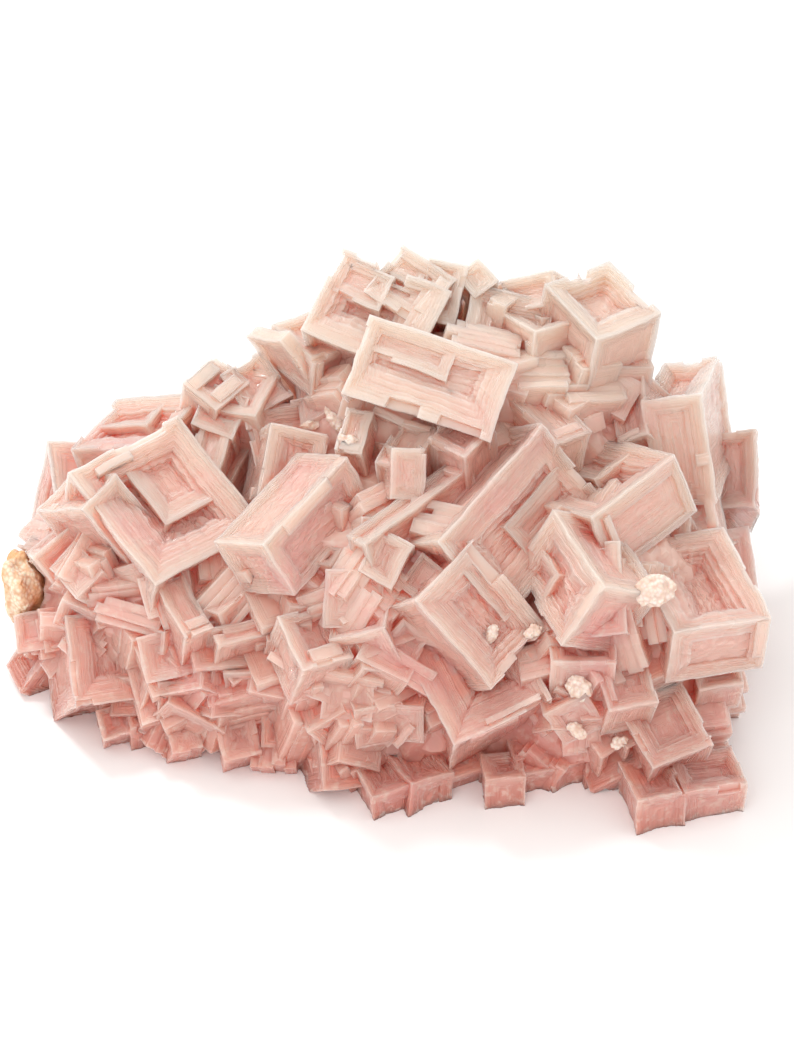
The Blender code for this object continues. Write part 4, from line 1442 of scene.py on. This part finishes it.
@dataclass(frozen=True)
class GrownTogether:
    """Makes one closed, weathered skin of many closed shapes, with the flat cut that it stands on.

    unevenness gives the size of each wave and how far it moves the skin. The gap attribute is measured by
    rays, which start a little above the skin and lean away from it.
    """

    nodule: TanNodule
    seed: int
    ground_size: float = 400.0
    nodule_gap: float = 0.35
    unevenness: tuple[tuple[float, float], ...] = ((9.0, 0.8), (2.0, 0.32))
    most_triangles: int = 190000
    shortest_edge: float = 0.0005
    mending_rounds: int = 6
    rays: int = 14
    ray_start: float = 0.4
    ray_lift: float = 1.05
    ray_reach: float = 14.0

    def join(self, pieces: list[bpy.types.Object]) -> bpy.types.Object:
        """Join closed shapes in one solid, cut it flat below, and keep its outer shell alone."""
        grown = bpy.data.collections.new("grown_together")
        for piece in pieces[1:]:
            grown.objects.link(piece)
        cluster = pieces[0]
        bpy.context.scene.collection.objects.link(cluster)
        add_boolean(cluster, "UNION", grown)
        size = self.ground_size
        ground = add_cube(Vector((0.0, 0.0, -size / 2)), Vector((size, size, size)))
        pocket = add_ball(4)
        for vertex in pocket.data.vertices:
            vertex.co = self.nodule.surface(vertex.co.normalized(), self.nodule_gap)
        for cutter in (ground, pocket):
            add_boolean(cluster, "DIFFERENCE", cutter)
        apply_modifiers(cluster)
        for thing in [*pieces[1:], ground, pocket]:
            bpy.data.objects.remove(thing, do_unlink=True)
        bpy.data.collections.remove(grown)
        self.keep_outer_shell(cluster)
        return cluster

    def keep_outer_shell(self, thing: bpy.types.Object) -> None:
        """Keep only the largest shell of a mesh, in triangles."""
        mesh = bmesh.new()
        mesh.from_mesh(thing.data)
        bmesh.ops.triangulate(mesh, faces=mesh.faces[:])
        mesh.verts.ensure_lookup_table()
        shell_of = np.full(len(mesh.verts), -1)
        sizes = []
        for first in mesh.verts:
            if shell_of[first.index] >= 0:
                continue
            shell_of[first.index] = len(sizes)
            queue = [first]
            count = 0
            while queue:
                vertex = queue.pop()
                count += 1
                for edge in vertex.link_edges:
                    other = edge.other_vert(vertex)
                    if shell_of[other.index] < 0:
                        shell_of[other.index] = len(sizes)
                        queue.append(other)
            sizes.append(count)
        largest = int(np.argmax(sizes))
        loose = [vertex for vertex in mesh.verts if shell_of[vertex.index] != largest]
        bmesh.ops.delete(mesh, geom=loose, context="VERTS")
        mesh.to_mesh(thing.data)
        mesh.free()
        LOG.info("%d triangles in the largest of %d shells", len(thing.data.polygons), len(sizes))

    def weather(self, thing: bpy.types.Object) -> None:
        """Bend the crystals' edges and faces a little, as uneven growth and handling leave them."""
        foot = [vertex.index for vertex in thing.data.vertices if vertex.co.z < ON_WALL]
        for size, reach in self.unevenness:
            modifier, texture = add_lumps(thing, "CLOUDS", size, reach)
            texture.cloud_type = "COLOR"
            texture.noise_depth = 1
            modifier.direction = "RGB_TO_XYZ"
            modifier.space = "LOCAL"
        apply_modifiers(thing)
        for index in foot:
            thing.data.vertices[index].co.z = 0.0
        for vertex in thing.data.vertices:
            vertex.co.z = max(vertex.co.z, 0.0)

    def thin_out(self, thing: bpy.types.Object) -> None:
        """Merge faces where they are flattest, down to the most triangles that the piece may have."""
        modifier = thing.modifiers.new("thin_out", "DECIMATE")
        modifier.ratio = min(self.most_triangles / len(thing.data.polygons), 1.0)
        apply_modifiers(thing)

    def open_edges(self, mesh: bmesh.types.BMesh) -> list[bmesh.types.BMEdge]:
        """The edges that have only one face."""
        return [edge for edge in mesh.edges if len(edge.link_faces) == 1]

    def close_up(self, thing: bpy.types.Object) -> None:
        """Take out faces that meet three or more along an edge, and close what that leaves open."""
        mesh = bmesh.new()
        mesh.from_mesh(thing.data)
        bmesh.ops.dissolve_degenerate(mesh, dist=self.shortest_edge, edges=mesh.edges[:])
        for _ in range(self.mending_rounds):
            crowded = [edge for edge in mesh.edges if len(edge.link_faces) > 2]
            around = {face for edge in crowded for vertex in edge.verts for face in vertex.link_faces}
            bmesh.ops.delete(mesh, geom=list(around), context="FACES")
            bmesh.ops.holes_fill(mesh, edges=self.open_edges(mesh), sides=0)
            left_open = self.open_edges(mesh)
            if not crowded and not left_open:
                break
            bmesh.ops.collapse(mesh, edges=left_open)
            bmesh.ops.triangulate(mesh, faces=[face for face in mesh.faces if len(face.verts) > 3])
        unused = [vertex for vertex in mesh.verts if not vertex.link_faces]
        bmesh.ops.delete(mesh, geom=unused, context="VERTS")
        bmesh.ops.recalc_face_normals(mesh, faces=mesh.faces[:])
        mesh.to_mesh(thing.data)
        mesh.free()

    def note_gaps(self, thing: bpy.types.Object) -> None:
        """Write on each point how much of its open side other crystals close off; the salt's material
        paints its crevice glow and shade by it.
        """
        mesh = thing.data
        tree = BVHTree.FromPolygons([vertex.co for vertex in mesh.vertices],
                                    [face.vertices for face in mesh.polygons])
        source = random.Random(self.seed)
        spread = [draw_direction(source) for _ in range(self.rays)]
        normals = [Vector() for _ in mesh.vertices]
        for face in mesh.polygons:
            for index in face.vertices:
                normals[index] += face.normal
        gap = mesh.attributes.new("gap", "FLOAT", "POINT")
        for vertex in mesh.vertices:
            normal = normals[vertex.index].normalized()
            start = vertex.co + normal * self.ray_start
            closed = 0.0
            for direction in spread:
                way = (direction + normal * self.ray_lift).normalized()
                hit = tree.ray_cast(start, way, self.ray_reach)
                if hit[0] is not None:
                    closed += 1.0 - hit[3] / self.ray_reach
            gap.data[vertex.index].value = closed / self.rays

    def build(self, pieces: list[bpy.types.Object]) -> bpy.types.Object:
        """Make one skin of the pieces, and return it."""
        cluster = self.join(pieces)
        self.weather(cluster)
        self.thin_out(cluster)
        self.close_up(cluster)
        self.note_gaps(cluster)
        return cluster


@dataclass
class HaliteCluster:
    """The whole cluster: its mass, every crystal, and the flat cut that it stands on.

    A crystal whose middle is lower than lowest_hollow is broken into splinters, which are raised to
    lowest_middle. Grids are how far the divisions of a hopper cube's faces lie apart.
    """

    layout: Layout
    finish: HaliteFinish
    nodule: TanNodule
    seed: int = 31
    mass_sink: float = 2.6
    mass_lumps: tuple[tuple[float, float], ...] = ((7.0, 3.5), (3.0, 1.8))
    mass_edge_gap: float = 2.0
    # The mass counts as deep in the hollows, so it takes most of the painted hollow shade.
    mass_growth: tuple[float, float, float] = (0.7, 0.5, 0.0)
    foot_depth: float = 8.0
    nodule_view: float = 3.5
    lowest_hollow: float = 6.0
    lowest_middle: float = 1.5
    lowest_top: float = 2.5
    notches: int = 3
    filler_notches: int = 2
    filler_grid: float = 3.5
    small_grid: float = 4.5
    crease: float = math.radians(28.0)

    def mass_piece(self, lobe: Lobe, index: int) -> bpy.types.Object:
        """One lobe of the mass, as lumpy massive salt."""
        thing = add_ball(6)
        thing.name = f"mass_{index}"
        for vertex in thing.data.vertices:
            way = vertex.co.normalized()
            rise = math.asin(min(abs(way.z), 1.0))
            vertex.co = lobe.surface(math.atan2(way.y, way.x), rise, self.mass_sink)
            if way.z < 0.0:
                vertex.co.z = way.z * self.foot_depth
        for size, reach in self.mass_lumps:
            _, texture = add_lumps(thing, "VORONOI", size, reach)
            texture.distance_metric = "CHEBYCHEV"
        apply_modifiers(thing)
        count = len(thing.data.loops)
        note_on_corners(thing.data, "edge_gap", np.full((count, 3), self.mass_edge_gap))
        note_on_corners(thing.data, "growth", np.tile(self.mass_growth, (count, 1)))
        return set_aside(thing)

    def hides_nodule(self, block: Block) -> bool:
        """Whether a crystal would show in front of the nodule."""
        return block.covers(*VIEW.seen(self.nodule.middle), self.nodule_view)

    def shapes(self) -> list[bpy.types.Object]:
        """Shape the mass and every crystal, each closed and on its own."""
        source = random.Random(self.seed)
        small = SmallCrystals(self.layout, self.nodule)
        show_blocks = [self.layout.laid_out(crystal) for crystal in SHOW_CRYSTALS + OUTLINE_CRYSTALS]
        fillers = self.layout.fillers(show_blocks)
        pieces = [self.mass_piece(lobe, index) for index, lobe in enumerate(LOBES)]
        for block in show_blocks + small.nested_blocks(show_blocks, source):
            if block.middle().z > self.lowest_hollow:
                pieces.append(HopperCube(block, source, notches=self.notches).build())
                continue
            for part in small.splinters(block, source):
                part.corner.z += max(self.lowest_middle - part.middle().z, 0.0)
                pieces.append(HopperCube(part, source, notches=self.notches).build())
        for block in fillers:
            if not self.hides_nodule(block):
                cube = HopperCube(block, source, grid=self.filler_grid, notches=self.filler_notches)
                pieces.append(cube.build())
        bar = PlainBar.shaped()
        for block in small.gap_blocks(show_blocks, fillers, source):
            if self.hides_nodule(block) or block.top() < self.lowest_top:
                continue
            if block.name == "slat":
                pieces.append(bar.build(block, source.random()))
            else:
                cube = HopperCube(block, source, grid=self.small_grid, stepped_walls=(2,))
                pieces.append(cube.build())
        for block in small.sprout_blocks(show_blocks, source):
            if block.top() > self.lowest_top:
                pieces.append(bar.build(block, source.random()))
        bpy.data.objects.remove(bar.pattern, do_unlink=True)
        LOG.info("%d shapes made", len(pieces))
        return pieces

    def build(self) -> bpy.types.Object:
        """Build the cluster and dress it.

        Returns:
            The finished piece, in the frame's metres.
        """
        cluster = GrownTogether(self.nodule, self.seed).build(self.shapes())
        cluster.name = "halite_cluster_grown"
        cluster.data.transform(TO_FRAME)
        keep_in_box(cluster)
        deselect()
        cluster.select_set(True)
        bpy.context.view_layer.objects.active = cluster
        bpy.ops.object.shade_smooth_by_angle(angle=self.crease)
        cluster.data.materials.clear()
        cluster.data.materials.append(self.finish.build())
        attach(cluster, "root")
        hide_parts("halite_cluster")
        return cluster


@dataclass(frozen=True)
class Crumb:
    """A crumb that rests on the cluster: where it shows, its half sizes across and up, and its kind."""

    name: str
    across: float
    up: float
    half_width: float
    half_height: float
    turn: float = 0.0
    grain: Grain = Grain.CRUST


CRUMBS = (
    Crumb("salt_crust_knob", 48.4, -9.9, 3.6, 2.7, 10.0),
    Crumb("salt_crust_upper", 19.3, -17.5, 1.1, 1.7, -20.0),
    Crumb("salt_crust_middle", 26.8, -17.1, 1.7, 1.1, 20.0),
    Crumb("salt_crust_low", 34.9, -27.0, 2.0, 2.6, 40.0),
    Crumb("salt_crust_lower", 34.4, -34.7, 2.2, 1.2, -35.0),
    Crumb("salt_crust_side", 42.1, -36.9, 1.6, 1.1, 10.0),
    Crumb("salt_crust_string", -7.9, 20.4, 3.6, 1.3, -52.0),
    Crumb("salt_crust_hook", -12.6, 20.0, 2.0, 0.9, 12.0),
    Crumb("salt_crust_patch", -5.6, 16.8, 2.0, 1.3, -20.0),
    Crumb("clear_bead", -15.8, -24.3, 1.45, 1.45, 0.0, Grain.BEAD),
)


@dataclass
class Crumbs:
    """The crumbs of dry crust and the clear bead, each resting on the surface that it shows on.

    lumps and rise are shares: of the lumps' size, and of the crumb's own depth. The bead is shaped with a
    radius of about 1. lump_size is in metres.
    """

    cluster: bpy.types.Object
    crust: LumpFinish
    bead: BeadFinish
    lumps: float = 1.1
    lump_size: float = 0.0012
    flatness: float = 0.6
    rise: float = 0.75
    bead_size: float = 1.5
    bead_step: tuple[float, float, float] = (0.1, 0.06, 0.42)
    bead_turn: float = 0.5
    bead_rounding: int = 3
    step_reach: float = 1.0

    def lump(self) -> bpy.types.Object:
        """The ball that every crust crumb is worked from, finely divided and of radius 1."""
        return add_ball(5)

    def drop(self) -> bpy.types.Object:
        """The clear bead, of radius 1: a small cube with one flat growth step, rounded off by wetting."""
        size = self.bead_size
        bead = add_cube(Vector((0.0, 0.0, 0.0)), Vector((size, size, size)))
        divide(2)
        mesh = bmesh.from_edit_mesh(bead.data)
        for face in mesh.faces:
            top = face.normal.z > SQUARE_ON
            face.select_set(top and face.calc_center_median().length < self.step_reach)
        bmesh.update_edit_mesh(bead.data)
        bpy.ops.mesh.extrude_region_move(TRANSFORM_OT_translate={"value": self.bead_step})
        bpy.ops.transform.rotate(value=self.bead_turn, orient_axis="Z", center_override=(0.0, 0.0, 0.0))
        bpy.ops.object.mode_set(mode="OBJECT")
        rounding = bead.modifiers.new("wetting", "SUBSURF")
        rounding.levels = self.bead_rounding
        rounding.render_levels = self.bead_rounding
        apply_modifiers(bead)
        return bead

    def build_one(self, crumb: Crumb, material: bpy.types.Material) -> bpy.types.Object:
        """Shape a crumb where its ray from the eye meets the cluster.

        Args:
            crumb: what to build.
            material: its finish.

        Returns:
            The crumb, in the frame's metres.
        """
        eye = TO_FRAME @ VIEW.eye
        way = (TO_FRAME @ (VIEW.eye + VIEW.ray(crumb.across, crumb.up)) - eye).normalized()
        found, place, normal, _ = self.cluster.ray_cast(eye, way)
        if not found:
            place, normal = eye + way * VIEW.distance * MM, VIEW.toward
        thing = self.lump() if crumb.grain is Grain.CRUST else self.drop()
        thing.name = crumb.name
        turn = math.radians(crumb.turn)
        right = VIEW.right * math.cos(turn) + VIEW.up * math.sin(turn)
        up = VIEW.toward.cross(right)
        deep = min(crumb.half_width, crumb.half_height) * self.flatness
        columns = (right * crumb.half_width, up * crumb.half_height, VIEW.toward * deep)
        turned = Matrix(columns).transposed().to_4x4()
        rest = place + VIEW.toward * deep * MM * self.rise
        thing.data.transform(Matrix.Translation(rest) @ Matrix.Scale(MM, 4) @ turned)
        if crumb.grain is Grain.CRUST:
            add_lumps(thing, "CLOUDS", self.lump_size, self.lump_size * self.lumps)
            apply_modifiers(thing)
        keep_in_box(thing)
        thing.data.shade_smooth()
        thing.data.materials.append(material)
        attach(thing, "root")
        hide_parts("halite_cluster")
        return thing

    def build(self) -> list[bpy.types.Object]:
        """Build every crumb, and return them."""
        finishes = {Grain.CRUST: self.crust.build(), Grain.BEAD: self.bead.build()}
        return [self.build_one(crumb, finishes[crumb.grain]) for crumb in CRUMBS]


# --------------------------------------------------------------------------------------------------
# Studio
# --------------------------------------------------------------------------------------------------


@dataclass(frozen=True)
class Lamp:
    """A soft square light: its place and size in metres, and its power in watts."""

    name: str
    place: tuple[float, float, float]
    size: float
    power: float


LAMPS = (
    Lamp("overhead", (-0.25, 0.1, 0.9), 0.7, 0.5),
    Lamp("front", (-0.2, -0.75, 0.75), 0.8, 2.65),
    Lamp("glints", (-0.35, 0.3, 0.65), 0.12, 1.6),
)


@dataclass
class Studio:
    """The pale floor, the soft lights and the camera on the show side.

    Sizes are in metres, apart from the lens, its sensor and the framing, which are in millimetres.
    """

    floor_size: float = 6.0
    floor_colour: str = "#FDFDFD"
    floor_roughness: float = 0.9
    floor_gloss: float = 0.1
    lit_point: tuple[float, float, float] = (0.0, 0.0, 0.03)
    surround_colour: str = "#FFFDFB"
    surround_strength: float = 0.95
    nearest_shown: float = 0.01
    lens: float = 85.8
    sensor: float = 36.0
    framing_across: float = 2.6
    framing_up: float = 1.2

    def floor(self) -> bpy.types.Object:
        """A wide pale floor."""
        deselect()
        bpy.ops.mesh.primitive_plane_add(size=self.floor_size)
        floor = bpy.context.object
        floor.name = "floor"
        # Matt paper: it shows as plain white, without a mirror image of the cluster.
        material, _, _ = principled("matt_paper", {
            "Base Color": linear(self.floor_colour),
            "Roughness": self.floor_roughness,
            "Specular IOR Level": self.floor_gloss,
        })
        floor.data.materials.append(material)
        return floor

    def aim(self, thing: bpy.types.Object, place: Vector, target: Vector) -> None:
        """Put a light or camera in the scene, at a place and looking at a target."""
        bpy.context.scene.collection.objects.link(thing)
        thing.location = place
        thing.rotation_euler = (target - place).to_track_quat("-Z", "Y").to_euler()

    def light(self) -> None:
        """Set up the soft square lights and an even pale surround."""
        for lamp in LAMPS:
            data = bpy.data.lights.new(lamp.name, "AREA")
            data.size = lamp.size
            data.energy = lamp.power
            self.aim(bpy.data.objects.new(lamp.name, data), Vector(lamp.place), Vector(self.lit_point))
        bpy.context.scene.view_settings.view_transform = "Standard"
        world = bpy.data.worlds.new("pale_surround")
        world.use_nodes = True
        background = world.node_tree.nodes["Background"]
        background.inputs["Color"].default_value = linear(self.surround_colour)
        background.inputs["Strength"].default_value = self.surround_strength
        bpy.context.scene.world = world

    def camera(self) -> bpy.types.Object:
        """The camera on the show side, framed so that the cluster fills the picture's width."""
        data = bpy.data.cameras.new("camera")
        data.lens = self.lens
        data.sensor_width = self.sensor
        data.clip_start = self.nearest_shown
        camera = bpy.data.objects.new("camera", data)
        target = VIEW.aim + VIEW.right * self.framing_across + VIEW.up * self.framing_up
        self.aim(camera, TO_FRAME @ VIEW.eye, TO_FRAME @ target)
        bpy.context.scene.camera = camera
        return camera

    def build(self) -> None:
        """Set up the studio."""
        self.floor()
        self.light()
        self.camera()


def main() -> None:
    """Build every piece in order."""
    logging.basicConfig(level=logging.INFO, format="%(name)s: %(message)s")
    nodule = TanNodule(NODULE_FINISH)
    cluster = HaliteCluster(Layout(), HaliteFinish(), nodule).build()
    crumbs = Crumbs(cluster, CRUST_FINISH, BeadFinish()).build()
    for piece in (cluster, nodule.build(), *crumbs):
        LOG.info("%s has %d faces", piece.name, len(piece.data.polygons))
    Studio().build()


if __name__ == "__main__":
    main()
